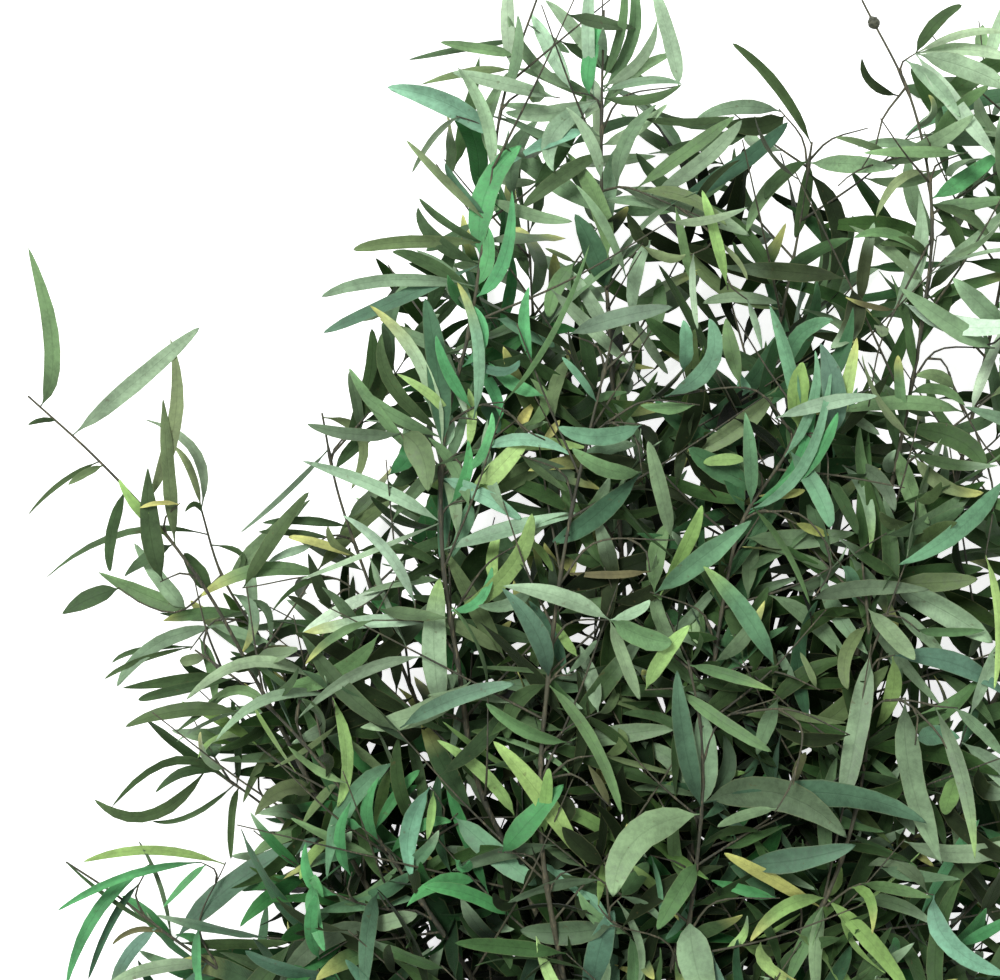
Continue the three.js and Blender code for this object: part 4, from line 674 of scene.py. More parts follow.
def grow_by_rule(main, wood, leaves, draw):
    """Side twigs at even steps, each turned on from the last, and leaves on both."""
    total = main.length
    turn = draw(*RULE["firstTurn"])
    s = main.first
    while s < total:
        turn += RULE["turn"]
        root_at = s + draw(*RULE["twigShift"])
        point, way = main.along(root_at)
        side = sideways(way, turn, RULE["twigFlat"])
        angle = draw(*RULE["twigAngle"])
        grown = min(1, RULE["tipShare"] + (RULE["tipGain"] * (total - s)) / RULE["tipReach"])
        length = draw(*RULE["twigLength"]) * grown
        out = way * math.cos(angle) + side * math.sin(angle)
        end = unit(out + TOWARD_TIPS * draw(*RULE["twigEnd"]))
        pull = point + out * 0.5 * length
        tip = pull + end * 0.5 * length
        points = [eased(p) if i else p for i, p in enumerate(curved(point, pull, tip))]
        if inside_outline(*plan_of(tip)):
            line = Wood(points, RULE["firstLeaf"], main, root_at)
            wood.append(line)
            leaves_along(line, leaves, draw, line.first)
        s += RULE["twigStep"]
    leaves_along(main, leaves, draw, main.first + RULE["leafyFrom"] * (total - main.first))


def leaves_along(line, leaves, draw, first):
    """Leaves at even steps from the distance first, where the outline and the openings let them be."""
    total = line.length
    turn = draw(*RULE["firstTurn"])
    s = first
    while s < total + 0.5 * RULE["leafStep"]:
        turn += RULE["turn"]
        root_at = min(s + draw(*RULE["leafShift"]), total)
        point, way = line.along(root_at)
        ending = s > total - RULE["leafStep"]
        angle = draw(*RULE["leafAngle"]) * (RULE["lastAngle"] if ending else 1)
        length = draw(*RULE["leafLength"])
        width = length * draw(*RULE["leafWidth"])
        sickle = draw(*RULE["sickle"]) * length
        sag = draw(*RULE["sag"]) * length
        roll = draw(*RULE["roll"])
        droop = draw(*RULE["droop"])
        side = sideways(way, turn, RULE["leafFlat"])
        out = unit(way * math.cos(angle) + side * math.sin(angle) + TOWARD_TIPS * droop)
        across = unit(np.cross(UP, out))
        tip = eased(point + out * length)
        via = point + (tip - point) * 0.5 + across * sickle
        via[2] += sag
        leaf = leaf_from(point, eased(via), tip, width, turned(UP, out, roll), line, root_at)
        plan = [plan_of(midline(leaf, t)) for t in RULE["tested"]]
        kept = draw(0, 1) < share_kept(*plan[0])
        if kept and all(inside_outline(*p) for p in plan) and not any(in_peep(*p) for p in plan):
            leaves.append(leaf)
        s += RULE["leafStep"]


# The look of the wood: thickness at the root and the tip, and the knots where twigs leave a stem.
MAIN = {"root": 2.0, "tip": 0.6, "taper": 1.2, "sides": 9, "step": 6, "knot": 0.45, "knotReach": 3.2}
SIDE = {"root": 0.75, "tip": 0.34, "taper": 1.0, "sides": 6, "step": 7, "knot": 0.0, "knotReach": 3.0}
FEWEST_STEPS = 4

# A blade's outline from its stalk to its tip: the distance along it, and the share of its half
# width there in a pointed leaf and in a full one.
OUTLINE_OF_BLADE = np.array([
    (0.0, 0.0, 0.0), (0.04, 0.0, 0.0), (0.08, 0.2, 0.26), (0.14, 0.52, 0.6), (0.23, 0.82, 0.86),
    (0.34, 0.98, 0.98), (0.46, 1.0, 1.0), (0.58, 0.93, 0.98), (0.7, 0.78, 0.93), (0.81, 0.56, 0.82),
    (0.9, 0.32, 0.6), (0.965, 0.14, 0.34),
])
# How a blade is formed: thicknesses and heights over the floor in millimetres, turns in radians, and the rest
# as shares of the blade's length, width or half width.
BLADE = {
    "stalk": 0.42, "stalkThick": 0.75, "thick": 0.42, "rib": 0.16, "camber": 0.06, "fold": (0.06, 0.34),
    "twist": (-1.2, 1.2), "placedTwist": (-0.25, 0.25), "untwisted": 0.35, "roll": 0.5,
    "wave": (0.0, 0.07), "waves": 2.3, "phase": (0, 6.28), "ragged": 0.05, "lowest": 0.25, "edgeRoom": 0.32,
}
# A blade is fully leafy where its outline has reached one over this many of its half width.
LEAFY = 3
# How far across a blade the corners of a ring round it lie: over the top from edge to edge, and the rib below.
RING = np.array([-1.0, -0.5, 0.0, 0.5, 1.0, 0.0])
LEFT_EDGE, RIGHT_EDGE = 0, 4
# Halfway to its edges, a blade has these shares of the fold's lift, of the wave and of the hump.
HALFWAY = {"lift": 0.5, "ripple": 0.4, "hump": 0.8}
# Painted shade: leaves deep in the bunch are darker: with so many leaves over them, this share of the tone.
CROWD = {"reach": 24, "above": 9, "counts": (0, 3, 8, 16, 30), "shades": (1.2, 0.74, 0.38, 0.18, 0.1)}
# The face of the bunch stays in sight, judged at these shares of a listed leaf's length. A leaf that
# grew by rule may hide fewer than "hidden" of them, and else bends down under it, by up to "drop"
# millimetres. A listed one that is covered by others rises over them, by up to "lift".
SIGHT = {"steps": np.linspace(0.1, 0.95, 9), "hidden": 2, "covered": 4, "drop": 22, "lift": 18, "past": 1.3}
# Painted shade is greener, as light that has come through leaves is: what is taken off red, green and blue.
FILTER = np.array([1.22, 1.0, 1.34])
# The leaves of one twig tend to share a tone, and are darker or lighter together.
SHARED_TONE = 0.65
TWIG_SHADES = (0.42, 1.2)
YELLOW_TIPS = 0.07
PALE_TIPS = 0.16
LEAF_SHADES = (0.86, 1.14)
RED_TINTS = (0.93, 1.07)
BLUE_TINTS = (0.92, 1.08)
# A blade is darker toward its stalk, lighter toward its tip, and one half is lighter than the other: a painted
# light and shade of its fold.
STALK_SHADES = (0.45, 0.95)
TIP_SHADES = (1.0, 1.4)
HALF_SHADES = (-0.16, 0.16)
# How far along a blade the stalk's shade ends and the tip's begins, how long that takes, and how it grows.
STALK_END, TIP_START, TIP_RUN, TIP_GROWTH = 0.45, 0.6, 0.36, 1.5
# The length of a blade, in millimetres, on which its side veins count as one unit.
VEIN_UNIT = 60


def linear(tone):
    """A tone as linear colour."""
    shares = np.array(tone) / 255
    return np.where(shares <= 0.04045, shares / 12.92, ((shares + 0.055) / 1.055) ** 2.4)


def tone_near(u, v, look):
    """The tone of a leaf placed by rule, by where it lies in the plan."""
    for pu, pv, across, along, share, tone in PATCHES:
        nearness = math.exp(-(((u - pu) / across) ** 2) - ((v - pv) / along) ** 2)
        if look(0, 1) < share * nearness:
            return tone
    reached = [mix for from_v, mix in MIXES if v >= from_v] or [MIXES[0][1]]
    mix = reached[-1]
    pick = look(0, sum(mix.values()))
    for tone, weight in mix.items():
        pick -= weight
        if pick <= 0:
            break
    return tone


def light_near(u, v):
    """The share of the light that reaches the leaves near plan point u, v, painted into their colour."""
    light = 1.0
    for pu, pv, across, along, share in LIGHTS:
        light *= 1 + (share - 1) * math.exp(-(((u - pu) / across) ** 4) - ((v - pv) / along) ** 4)
    return light


def new_piece(name, points, faces, materials, node=None):
    """A mesh piece from points in millimetres. One that replaces a node rides on the part's body."""
    mesh = bpy.data.meshes.new(name)
    mesh.from_pydata((np.asarray(points) * MM).tolist(), [], faces)
    mesh.polygons.foreach_set("use_smooth", [True] * len(mesh.polygons))
    for material in materials:
        mesh.materials.append(material)
    piece = bpy.data.objects.new(name, mesh)
    bpy.context.scene.collection.objects.link(piece)
    if node:
        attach(piece, "root")
        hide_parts(node)
    return piece


def tube(points, radii, sides, first=0):
    """Points and faces of a closed tube round a line, numbered from first. The last face is the root's."""
    points = np.asarray(points)
    ways = np.gradient(points, axis=0)
    ways /= np.linalg.norm(ways, axis=1)[:, None]
    side = unit(np.cross(ways[0], UP if abs(ways[0][2]) < 0.9 else TOWARD_TIPS))
    rings = []
    angles = np.arange(sides) * 2 * math.pi / sides
    for p, way, radius in zip(points, ways, radii):
        side = unit(side - way * float(side @ way))
        up = np.cross(way, side)
        rings.append(p + radius * (np.cos(angles)[:, None] * side + np.sin(angles)[:, None] * up))
    faces = []
    for r in range(len(rings) - 1):
        near, far = first + r * sides, first + (r + 1) * sides
        for i in range(sides):
            j = (i + 1) % sides
            faces.append((near + i, near + j, far + j, far + i))
    last = first + (len(rings) - 1) * sides
    faces.append(tuple(last + i for i in range(sides)))
    faces.append(tuple(first + i for i in reversed(range(sides))))
    return np.concatenate(rings), faces


def wood_piece(number, wood):
    """One stem's wood: the stem with a knot at each twig, and its twigs."""
    points, faces, cut_face = [], [], None
    for line in wood:
        form = SIDE if line.parent else MAIN
        count = max(FEWEST_STEPS, round(line.length / form["step"]))
        stops = np.linspace(0, line.length, count + 1)
        shares = (stops / line.length) ** form["taper"]
        radii = form["root"] + (form["tip"] - form["root"]) * shares
        for twig in wood:
            if twig.parent is line:
                radii += form["knot"] * np.exp(-(((stops - twig.root_at) / form["knotReach"]) ** 2))
        made, sides = tube([line.smooth(s) for s in stops], radii, form["sides"], sum(map(len, points)))
        made[:, 2] = np.maximum(made[:, 2], BLADE["lowest"])
        points.append(made)
        faces += sides
        if not line.parent:
            cut_face = len(faces) - 1
    name, node = f"stem_{number:02d}_wood", f"leafy_stem_{number:02d}"
    materials = [MATERIALS["bark"], MATERIALS["cut"]]
    piece = new_piece(name, np.concatenate(points), faces, materials, node)
    piece.data.polygons[cut_face].material_index = 1
    piece.data.polygons[cut_face].use_smooth = False


def blade_faces(count):
    """Faces of one blade with count rings, each running over the top from edge to edge and back below."""
    corners = len(RING)
    faces = [tuple(range(corners))]
    for r in range(count - 1):
        near, far = r * corners, (r + 1) * corners
        for i in range(corners):
            j = (i + 1) % corners
            faces.append((near + i, far + i, far + j, near + j))
    near, tip = (count - 1) * corners, count * corners
    faces += [(near + i, tip, near + (i + 1) % corners) for i in range(corners)]
    return faces


def levelled(across, half, height):
    """Near the floor a blade lies flat enough that neither edge goes below it."""
    most = np.minimum(np.maximum(height - BLADE["edgeRoom"], 0) / half, 1)
    z = np.clip(across[..., 2], -most, most)
    level = np.hypot(across[..., 0], across[..., 1])
    flat = np.where(level > 0, np.sqrt(1 - z**2) / np.maximum(level, 1e-9), 1)
    held = np.stack([across[..., 0] * flat, across[..., 1] * flat, z], axis=-1)
    return np.where((np.abs(across[..., 2]) > most)[..., None], held, across)


def blade_points(leaves, look):
    """The points of all the blades, leaf by leaf, and each blade's length."""

    def each(value):
        """One value for every leaf, as a column."""
        return np.array([value(leaf) for leaf in leaves])[:, None]

    t = OUTLINE_OF_BLADE[:, 0][None, :, None]
    base = each(lambda leaf: leaf["line"].smooth(leaf["s"]))
    pull, tip, face = (each(lambda leaf: leaf[key]) for key in ("pull", "tip", "face"))
    width = each(lambda leaf: leaf["width"])
    fullness = each(lambda leaf: look(0, 1))
    fold = each(lambda leaf: look(*BLADE["fold"]))
    twist = each(lambda leaf: look(*BLADE["placedTwist" if leaf["placed"] else "twist"]))
    wave = each(lambda leaf: look(*BLADE["wave"]))
    phase = each(lambda leaf: look(*BLADE["phase"]))

    middle = bend(base, pull, tip, t)
    way = (pull - base) * (1 - t) + (tip - pull) * t
    way /= np.linalg.norm(way, axis=-1, keepdims=True)
    share = OUTLINE_OF_BLADE[None, :, 1] * (1 - fullness) + OUTLINE_OF_BLADE[None, :, 2] * fullness
    half = np.maximum(0.5 * width * share, BLADE["stalk"])
    edges = range(2 * len(OUTLINE_OF_BLADE))
    ragged = np.array([[look(-1, 1) for _ in edges] for _ in leaves]) * BLADE["ragged"]
    left, right = (half * (1 + ragged[:, side::2] * (share > 0)) for side in (0, 1))
    across = np.cross(face, way)
    across /= np.linalg.norm(across, axis=-1, keepdims=True)
    up = np.cross(way, across)
    roll = each(lambda leaf: 0.0 if leaf["placed"] else look(-1, 1) * BLADE["roll"])
    angle = (twist * (t[..., 0] - BLADE["untwisted"]) + roll)[..., None]
    across = across * np.cos(angle) + up * np.sin(angle)
    across = levelled(across, half, middle[..., 2])
    up = np.cross(way, across)

    leafy = np.clip(share * LEAFY, 0, 1)
    thick = BLADE["stalkThick"] + (BLADE["thick"] - BLADE["stalkThick"]) * leafy
    lift = fold * half * leafy
    ripple = wave * width * leafy * np.sin(BLADE["waves"] * 2 * math.pi * t[..., 0] + phase)
    hump = 0.5 * thick + BLADE["camber"] * half * leafy
    half_lift, half_ripple = HALFWAY["lift"] * lift, HALFWAY["ripple"] * ripple
    ring = [
        (-left, lift + ripple),
        (RING[1] * half, half_lift + half_ripple + hump * HALFWAY["hump"]),
        (RING[2] * half, 0.5 * thick),
        (RING[3] * half, half_lift - half_ripple + hump * HALFWAY["hump"]),
        (right, lift - ripple),
        (RING[5] * half, -0.5 * thick - BLADE["rib"] * leafy),
    ]
    rings = np.stack([middle + across * a[..., None] + up * f[..., None] for a, f in ring], axis=2)
    points = np.concatenate([rings.reshape(len(leaves), -1, 3), tip], axis=1)
    points[..., 2] = np.maximum(points[..., 2], BLADE["lowest"])
    length = np.linalg.norm(np.diff(middle, axis=1), axis=-1).sum(axis=1)
    return points, length


def leaves_piece(number, leaves):
    """One stem's leaves: thin folded blades with a slight twist and a waved edge."""
    look = draw_from(SEEDS["look"] * number)
    points, length = blade_points(leaves, look)
    per_leaf = points.shape[1]
    faces = []
    pattern = blade_faces(len(OUTLINE_OF_BLADE))
    for i in range(len(leaves)):
        faces += [tuple(i * per_leaf + corner for corner in face) for face in pattern]
    name, node = f"stem_{number:02d}_leaves", f"leafy_stem_{number:02d}"
    mesh = new_piece(name, points.reshape(-1, 3), faces, [MATERIALS["leaf"]], node).data

    ends = np.zeros(2 * len(mesh.edges), dtype=np.int32)
    mesh.edges.foreach_get("vertices", ends)
    ends = ends.reshape(-1, 2) % per_leaf
    corner = np.where(ends == per_leaf - 1, -1, ends % len(RING))
    on_rim = (corner[:, 0] == corner[:, 1]) & np.isin(corner[:, 0], (LEFT_EDGE, RIGHT_EDGE))
    mesh.attributes.new("sharp_edge", "BOOLEAN", "EDGE").data.foreach_set("value", on_rim.tolist())
    paint(mesh, leaves, look, length)


def seen_at(leaf):
    """Where the eye sees a leaf's midline, at the steps of SIGHT, and how high it lies there."""
    return np.array([[*plan_of(p), p[2]] for p in (midline(leaf, t) for t in SIGHT["steps"])])


def shift(leaf, height):
    """The leaf bends up, or down where height is negative, from its base."""
    for key in ("pull", "tip"):
        leaf[key] = leaf[key] + UP * height


def lift_hidden(placed):
    """A listed leaf that others hide for long rises over them, as far as it may, the widest first."""
    spots = np.array([seen_at(leaf) for leaf in placed])
    reach = np.array([0.5 * leaf["width"] / PLAN["step"] for leaf in placed])[:, None, None]
    for i in np.argsort([leaf["width"] for leaf in placed])[::-1]:
        apart = spots[:, :, None, :] - spots[i]
        over = np.where(np.hypot(apart[..., 0], apart[..., 1]) < reach, apart[..., 2], 0).max(axis=1)
        over[i] = 0
        lift = over[(over > 0).sum(axis=1) >= SIGHT["covered"]].max(initial=0)
        if 0 < lift < SIGHT["lift"]:
            shift(placed[i], SIGHT["past"] * lift + BLADE["thick"])
            spots[i] = seen_at(placed[i])


def clear_view(grown):
    """A leaf grown by rule that would hide a stretch of a listed leaf bends down under it, or goes."""
    placed = [leaf for _, leaves in grown for leaf in leaves if leaf["placed"]]
    lift_hidden(placed)
    in_sight = np.array([seen_at(leaf) for leaf in placed])

    def hides(leaf):
        """Whether the leaf hides too much of any other, and how far it rises over what it hides."""
        spots = seen_at(leaf)
        reach = 0.5 * leaf["width"] / PLAN["step"]
        near = np.hypot(in_sight[..., None, 0] - spots[:, 0], in_sight[..., None, 1] - spots[:, 1]) < reach
        rises = np.where(near, spots[:, 2] - in_sight[..., None, 2], 0).max(axis=2)
        return (rises > 0).sum(axis=1).max() >= SIGHT["hidden"], rises.max()

    def stays(leaf):
        """Whether the leaf leaves the others in sight, bent down under them where that helps."""
        too_much, rise = hides(leaf)
        if too_much and rise < SIGHT["drop"]:
            shift(leaf, -(SIGHT["past"] * rise + BLADE["thick"]))
            for key in ("pull", "tip"):
                leaf[key][2] = max(leaf[key][2], ROOM["floor"])
            too_much, _ = hides(leaf)
        return not too_much

    for _, leaves in grown:
        leaves[:] = [leaf for leaf in leaves if leaf["placed"] or stays(leaf)]


def shade_by_depth(grown):
    """Each leaf's painted shade: the share of its tone that it keeps, from how many leaves of the bunch lie
    over it.
    """
    leaves = [leaf for _, stem_leaves in grown for leaf in stem_leaves]
    middles = np.array([midline(leaf, 0.5) for leaf in leaves])
    for leaf, (x, y, z) in zip(leaves, middles):
        near = np.hypot(middles[:, 0] - x, middles[:, 1] - y) < CROWD["reach"]
        over = int((near & (middles[:, 2] > z + CROWD["above"])).sum())
        leaf["depth_shade"] = float(np.interp(over, CROWD["counts"], CROWD["shades"]))


def leaf_colours(leaf, look):
    """A leaf's colour, its tip's and its stalk's."""
    line = leaf["line"]
    if line.tone is None:
        line.tone = tone_near(*plan_of(line.points[-1]), look)
        line.shade = look(*TWIG_SHADES)
    where = plan_of(midline(leaf, 0.5))
    own = tone_near(*where, look)
    named = leaf["tone"] or (line.tone if look(0, 1) < SHARED_TONE else own)
    tone, _, tip_tone = named.partition("+")
    chance = look(0, 1)
    if not leaf["placed"] and chance < YELLOW_TIPS:
        tip_tone = "yellow"
    elif not leaf["placed"] and chance < YELLOW_TIPS + PALE_TIPS:
        tip_tone = "pale"
    # The leaf's own random tone, times the painted light and shade of LIGHTS.
    shade = look(*LEAF_SHADES) * light_near(*where)
    if not leaf["placed"]:
        # The twig's shared random darkness, and the painted shade from the leaves over this one.
        shade *= line.shade * leaf["depth_shade"]
    tint = np.array([look(*RED_TINTS), 1.0, look(*BLUE_TINTS)])
    # The tone times its random and painted light and shade, greener where darker.
    colour = linear(TONES[tone]) * shade**FILTER * tint
    end = linear(TONES[tip_tone]) if tip_tone else colour * look(*TIP_SHADES)
    return colour, end, colour * look(*STALK_SHADES)


def paint(mesh, leaves, look, length):
    """Each leaf's tone, with its tip's, and its place across and along the blade as a UV map."""
    across = np.append(np.tile(np.sign(RING), len(OUTLINE_OF_BLADE)), 0.0)
    t = np.append(np.repeat(OUTLINE_OF_BLADE[:, 0], len(RING)), 1.0)
    toward_tip = np.clip((t - TIP_START) / TIP_RUN, 0, 1)[:, None] ** TIP_GROWTH
    toward_base = np.clip((STALK_END - t) / STALK_END, 0, 1)[:, None]
    colours = np.ones((len(leaves), len(t), 4))
    for rows, leaf in zip(colours, leaves):
        colour, end, start = leaf_colours(leaf, look)
        rows[:, :3] = colour * (1 - toward_tip) + end * toward_tip
        rows[:, :3] += (start - colour) * toward_base
        # Painted light and shade of the fold: one half of the blade lighter, the other darker.
        rows[:, :3] *= 1 + look(*HALF_SHADES) * across[:, None]
    tones = mesh.color_attributes.new("tone", "FLOAT_COLOR", "POINT")
    tones.data.foreach_set("color", np.clip(colours, 0, 1).ravel())

    place = np.empty((len(leaves), len(t), 2))
    place[..., 0] = np.append(np.tile(0.5 + 0.5 * RING, len(OUTLINE_OF_BLADE)), 0.5)
    place[..., 1] = t[None, :] * length[:, None] / VEIN_UNIT
    corners = np.empty(len(mesh.loops), dtype=np.int32)
    mesh.loops.foreach_get("vertex_index", corners)
    blade_map = mesh.uv_layers.new(name="blade")
    blade_map.data.foreach_set("uv", place.reshape(-1, 2)[corners].ravel())


class Nodes:
    """A material whose nodes are added and linked by short calls."""

    def __init__(self, name, skin=None):
        self.material = bpy.data.materials.new(name)
        self.material.use_nodes = True
        self.tree = self.material.node_tree
        self.tree.nodes.clear()
        out = self.tree.nodes.new("ShaderNodeOutputMaterial")
        self.skin = self.add("ShaderNodeBsdfPrincipled", skin)
        self.tree.links.new(self.skin.outputs["BSDF"], out.inputs["Surface"])
        self.object_place = self.add("ShaderNodeTexCoord").outputs["Object"]

    def add(self, kind, inputs=None, **settings):
        node = self.tree.nodes.new(kind)
        for key, value in settings.items():
            setattr(node, key, value)
        for key, value in (inputs or {}).items():
            self.feed(node.inputs[key], value)
        return node

    def feed(self, socket, value):
        if isinstance(value, bpy.types.NodeSocket):
            self.tree.links.new(value, socket)
        else:
            socket.default_value = value

    def dress(self, colour, roughness=None):
        """The skin's colour, and its roughness where that varies."""
        self.feed(self.skin.inputs["Base Color"], colour)
        if roughness:
            self.feed(self.skin.inputs["Roughness"], roughness)

    def calc(self, operation, *values):
        return self.add("ShaderNodeMath", dict(enumerate(values)), operation=operation).outputs[0]

    def noise(self, scale, detail, place=None):
        inputs = {"Vector": place or self.object_place, "Scale": scale, "Detail": detail, "Roughness": 0.55}
        return self.add("ShaderNodeTexNoise", inputs).outputs["Fac"]

    def ramp(self, value, low, high, to_low=0.0, to_high=1.0):
        inputs = {"Value": value, "From Min": low, "From Max": high, "To Min": to_low, "To Max": to_high}
        return self.add("ShaderNodeMapRange", inputs, interpolation_type="SMOOTHSTEP").outputs[0]

    def mix(self, share, a, b):
        node = self.add("ShaderNodeMix", data_type="RGBA", blend_type="MIX")
        for socket, value in zip((node.inputs[0], node.inputs[6], node.inputs[7]), (share, a, b)):
            self.feed(socket, value)
        return node.outputs[2]

    def scaled(self, colour, factor):
        return self.add("ShaderNodeVectorMath", {0: colour, "Scale": factor}, operation="SCALE").outputs[0]

    def bump(self, height, distance, strength):
        inputs = {"Height": height, "Distance": distance, "Strength": strength}
        self.feed(self.skin.inputs["Normal"], self.add("ShaderNodeBump", inputs).outputs[0])


def rgba(tone):
    return (*linear(tone), 1.0)


# The leaf's skin. The midrib and the edge begin and are whole at these distances from the midline, in shares
# of the width, and a side vein at these heights of its wave. Then how closely the side veins stand and how
# they slant, the scales of the mottling, and the tones of the dull spots and the dry edge.
LEAF = {
    "rib": (0.035, 0.01), "veins": 27.0, "slant": 5.0, "vein": (0.72, 1.0), "edge": (0.44, 0.5),
    "broad": 55.0, "fine": 420.0, "spots": 240.0, "spot": (0.68, 0.76),
    "dull": (84, 72, 46), "dry": (136, 138, 96),
}
# Two stretches of a noise's values in which most of them lie, the second one narrower.
SPREAD = (0.3, 0.7)
HALF_SPREAD = (0.35, 0.65)


def leaf_material():
    """Dyed, glycerine-soft leaf: mottled tone, a darker midrib, fine side veins, a satin skin."""
    n = Nodes("preserved_leaf", {"Sheen Weight": 0.05, "Sheen Roughness": 0.5})
    tone = n.add("ShaderNodeAttribute", attribute_name="tone").outputs["Color"]
    place = n.add("ShaderNodeUVMap", uv_map="blade").outputs["UV"]
    split = n.add("ShaderNodeSeparateXYZ", {0: place})
    across = n.calc("ABSOLUTE", n.calc("SUBTRACT", split.outputs["X"], 0.5))
    along = split.outputs["Y"]

    rib = n.ramp(across, *LEAF["rib"])
    slant = n.calc("MULTIPLY", across, LEAF["slant"])
    rows = n.calc("SUBTRACT", n.calc("MULTIPLY", along, LEAF["veins"]), slant)
    veins = n.ramp(n.calc("SINE", n.calc("MULTIPLY", rows, 2 * math.pi)), *LEAF["vein"])
    edge = n.ramp(across, *LEAF["edge"])
    broad = n.noise(LEAF["broad"], 2.0)
    fine = n.noise(LEAF["fine"], 4.0)
    spots = n.ramp(n.noise(LEAF["spots"], 2.0), *LEAF["spot"])

    shade = n.calc("ADD", n.ramp(broad, *SPREAD, 0.78, 1.14), n.ramp(fine, *SPREAD, -0.12, 0.12))
    colour = n.scaled(tone, shade)
    colour = n.mix(n.calc("MULTIPLY", veins, 0.14), colour, n.scaled(tone, 1.35))
    colour = n.mix(n.calc("MULTIPLY", rib, 0.3), colour, n.scaled(tone, 0.55))
    colour = n.mix(n.calc("MULTIPLY", edge, 0.2), colour, rgba(LEAF["dry"]))
    colour = n.mix(n.calc("MULTIPLY", spots, 0.4), colour, rgba(LEAF["dull"]))
    n.dress(colour, n.ramp(fine, *SPREAD, 0.5, 0.66))
    green = n.add("ShaderNodeSeparateXYZ", {0: tone}).outputs["Y"]
    n.feed(n.skin.inputs["Specular IOR Level"], n.ramp(green, 0.02, 0.25, 0.05, 0.34))
    relief = n.calc("ADD", n.calc("MULTIPLY", veins, 0.3), n.calc("MULTIPLY", fine, 0.5))
    n.bump(n.calc("SUBTRACT", relief, n.calc("MULTIPLY", rib, 0.6)), 0.0003, 0.6)
    return n.material


# The tones of the bark and its flecks, and how far the flecks are drawn out along the stem.
BARK = {"dark": (50, 52, 40), "light": (72, 72, 54), "fleck": (104, 98, 76), "stretch": (1.0, 0.18, 1.0)}


def bark_material():
    """Thin dark bark, flecked lengthwise."""
    n = Nodes("stem_bark")
    stretched = n.add("ShaderNodeMapping", {"Vector": n.object_place, "Scale": BARK["stretch"]}).outputs[0]
    flecks = n.noise(900.0, 4.0, stretched)
    colour = n.mix(n.ramp(n.noise(30.0, 2.0), *HALF_SPREAD), rgba(BARK["dark"]), rgba(BARK["light"]))
    colour = n.mix(n.ramp(flecks, 0.5, 0.7), colour, rgba(BARK["fleck"]))
    n.dress(colour, n.ramp(flecks, *SPREAD, 0.6, 0.85))
    n.bump(flecks, 0.0004, 0.8)
    return n.material


def grained_material(name, scale, dark, light, roughness, relief):
    """Finely grained stuff of two tones, such as a cut end's wood or the dry skin of a bud."""
    n = Nodes(name, {"Roughness": roughness})
    grain = n.noise(scale, 3.0)
    n.dress(n.mix(n.ramp(grain, *HALF_SPREAD), rgba(dark), rgba(light)))
    n.bump(grain, *relief)
    return n.material


# The tones of the twine's fibres, and of its darker stretches.
JUTE = {"dark": (140, 112, 70), "light": (204, 178, 126), "darker_stretch": (120, 94, 58)}


def twine_material():
    """Plain jute: warm fibres, with darker stretches."""
    n = Nodes("jute_twine", {"Roughness": 0.9, "Sheen Weight": 0.25})
    fibres = n.noise(1500.0, 5.0)
    colour = n.mix(n.ramp(fibres, *SPREAD), rgba(JUTE["dark"]), rgba(JUTE["light"]))
    n.dress(n.mix(n.ramp(n.noise(120.0, 2.0), 0.4, 0.7, 0.0, 0.35), colour, rgba(JUTE["darker_stretch"])))
    n.bump(fibres, 0.0004, 0.9)
    return n.material


def floor_material():
    """A pale floor, nearly white, that glows a little."""
    n = Nodes("pale_floor", {"Roughness": 0.9, "Emission Color": WHITE, "Emission Strength": FLOOR["glow"]})
    n.dress(n.mix(n.noise(6.0, 2.0), FLOOR["dark"], FLOOR["light"]))
    return n.material


MATERIALS = {
    "leaf": leaf_material(),
    "bark": bark_material(),
    "cut": grained_material("cut_wood", 1400.0, (196, 178, 138), (160, 138, 98), 0.85, (0.0003, 0.6)),
    "bud": grained_material("dry_bud", 700.0, (52, 56, 44), (84, 86, 68), 0.6, (0.0004, 0.8)),
    "twine": twine_material(),
}


# The bud: its stem's number, u, v and radius, and its outline as distances along its axis and radii, both
# as shares of its radius.
BUD = {"stem": 7, "u": 870, "v": 22, "radius": 3.4, "rings": 22, "sides": 14, "outline": np.array([
    (-1.0, 0.2), (-0.8, 0.55), (-0.35, 0.92), (0.1, 1.0), (0.45, 0.86), (0.6, 0.9), (0.95, 0.5), (1.3, 0.12),
])}


def bud_piece(grown):
    """The one round bud, sitting on its stem and running to a blunt point."""
    _, _, line, s = nearest_wood(grown[BUD["stem"] - 1][0], BUD["u"], BUD["v"])
    root = line.smooth(s)
    way = unit(line.smooth(s + 1) - line.smooth(s - 1)) if s + 1 < line.length else line.along(s)[1]
    last = len(BUD["outline"]) - 1
    outline = [
        through(BUD["outline"], min(int(x), last - 1), x % 1 if x < last else 1)
        for x in np.linspace(0, last, BUD["rings"])
    ]
    line = [root + way * BUD["radius"] * along for along, _ in outline]
    points, faces = tube(line, [BUD["radius"] * radius for _, radius in outline], BUD["sides"])
    new_piece("stem_07_bud", points, faces, [MATERIALS["bud"]], "leafy_stem_07")


# The twine: turns round the stems, and a small knot on top with two short ends.
TWINE = {
    "turns": 5.4, "thick": 2.05, "lay": 7.0, "step": 1.3, "sides": 7, "plyAt": 0.25, "plyRadius": 0.29,
    "start": 0.3 * math.pi, "above": 0.9,
}
# The knot is a line of three lobes that runs twice round. All measures are in millimetres.
KNOT = {"points": 120, "reach": 2.6, "lobe": 1.1, "long": 1.25, "short": 0.9, "high": 0.9}
# An end leaves the knot at a point across and along the stems, runs so far, and bows up and then down.
END = {"points": 14, "from": (2.5, 0.8), "run": (9.5, 3.4), "low": 0.2, "bow": 1.6, "drop": 3.6}


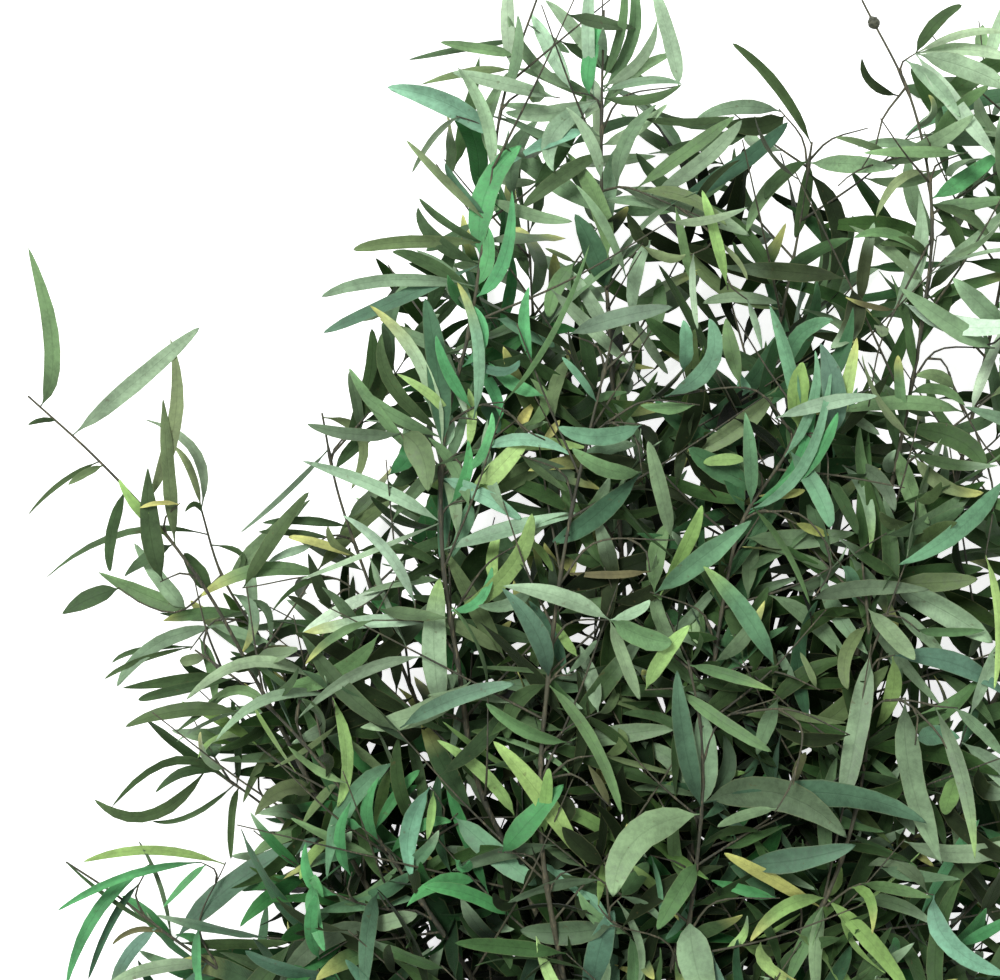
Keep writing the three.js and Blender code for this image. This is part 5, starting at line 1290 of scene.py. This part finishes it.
def ply_lines(points):
    """The two plies that wind round each other along a line of points."""
    points = np.asarray(points)
    ways = np.gradient(points, axis=0)
    ways /= np.linalg.norm(ways, axis=1)[:, None]
    gone = np.concatenate([[0], np.cumsum(np.linalg.norm(np.diff(points, axis=0), axis=1))])
    side = unit(np.cross(ways[0], TOWARD_TIPS))
    plies = [[], []]
    for p, way, s in zip(points, ways, gone):
        side = unit(side - way * float(side @ way))
        up = np.cross(way, side)
        for k, ply in enumerate(plies):
            angle = 2 * math.pi * s / TWINE["lay"] + math.pi * k
            ply.append(p + TWINE["plyAt"] * TWINE["thick"] * (side * math.cos(angle) + up * math.sin(angle)))
    return plies


def twine_lines():
    """The middle lines of the turns, the knot and its two ends."""
    middle = TIE["outer"] * math.cos(math.pi / TIE["sides"])
    radius = 0.5 * (TIE["inner"] + TIE["outer"])
    run = TIE["width"] - TWINE["thick"]
    count = round(2 * math.pi * radius * TWINE["turns"] / TWINE["step"])
    wound = []
    for i in range(count + 1):
        share = i / count
        angle = TWINE["start"] + 2 * math.pi * TWINE["turns"] * share
        wound.append([radius * math.cos(angle), run * (share - 0.5), middle + radius * math.sin(angle)])
    top = middle + TIE["outer"] + TWINE["above"]
    knot = []
    for a in np.linspace(0, 2 * math.pi, KNOT["points"]):
        reach = KNOT["reach"] + KNOT["lobe"] * math.cos(3 * a)
        knot.append([
            reach * math.cos(2 * a) * KNOT["long"],
            reach * math.sin(2 * a) * KNOT["short"],
            top + KNOT["high"] * math.sin(3 * a),
        ])
    ends = []
    for side in (-1, 1):
        ends.append([
            [*(side * (start + length * x) for start, length in zip(END["from"], END["run"])),
             top - END["low"] + END["bow"] * math.sin(3 * x) - END["drop"] * x**2]
            for x in np.linspace(0, 1, END["points"])
        ])
    return [wound, knot, *ends]


def twine_piece():
    """Twine wound side by side round the stems, tied off in a small knot."""
    points, faces = [], []
    for line in twine_lines():
        for ply in ply_lines(line):
            radii = [TWINE["plyRadius"] * TWINE["thick"]] * len(ply)
            made, sides = tube(ply, radii, TWINE["sides"], sum(map(len, points)))
            points.append(made)
            faces += sides
    points = np.concatenate(points)
    points[:, 2] = np.maximum(points[:, 2], 0)
    new_piece("twine_windings", points, faces, [MATERIALS["twine"]], "twine_tie")


grown = [grow_stem(stem, number) for number, stem in enumerate(STEMS, 1)]
clear_view(grown)
shade_by_depth(grown)
for number, (wood, leaves) in enumerate(grown, 1):
    wood_piece(number, wood)
    leaves_piece(number, leaves)
bud_piece(grown)
twine_piece()

half = 0.5 * FLOOR["size"]
corners = [[-half, -half, 0], [half, -half, 0], [half, half, 0], [-half, half, 0]]
new_piece("floor", corners, [(0, 1, 2, 3)], [floor_material()])

for name, direction, energy, spread in SUNS:
    data = bpy.data.lights.new(name, "SUN")
    data.energy = energy
    data.angle = math.radians(spread)
    lamp = bpy.data.objects.new(name, data)
    lamp.rotation_mode = "QUATERNION"
    lamp.rotation_quaternion = Vector(direction).to_track_quat("-Z", "Y")
    bpy.context.scene.collection.objects.link(lamp)

world = bpy.data.worlds.new("studio")
world.use_nodes = True
sky = world.node_tree.nodes["Background"]
sky.inputs["Color"].default_value = WHITE
sky.inputs["Strength"].default_value = SKY
bpy.context.scene.world = world
bpy.context.scene.view_settings.view_transform = "Standard"

eye = bpy.data.cameras.new("camera")
eye.type = "PERSP"
eye.sensor_width = 36.0
eye.lens = eye.sensor_width * PLAN["eye"] / (PICTURE_WIDTH * PLAN["step"])
eye.clip_start, eye.clip_end = 0.05, 50.0
camera = bpy.data.objects.new("camera", eye)
over = at(PLAN["midU"], PLAN["midV"], PLAN["midZ"])
camera.location = (over[0] * MM, over[1] * MM, (PLAN["midZ"] + PLAN["eye"]) * MM)
bpy.context.scene.collection.objects.link(camera)
bpy.context.scene.camera = camera
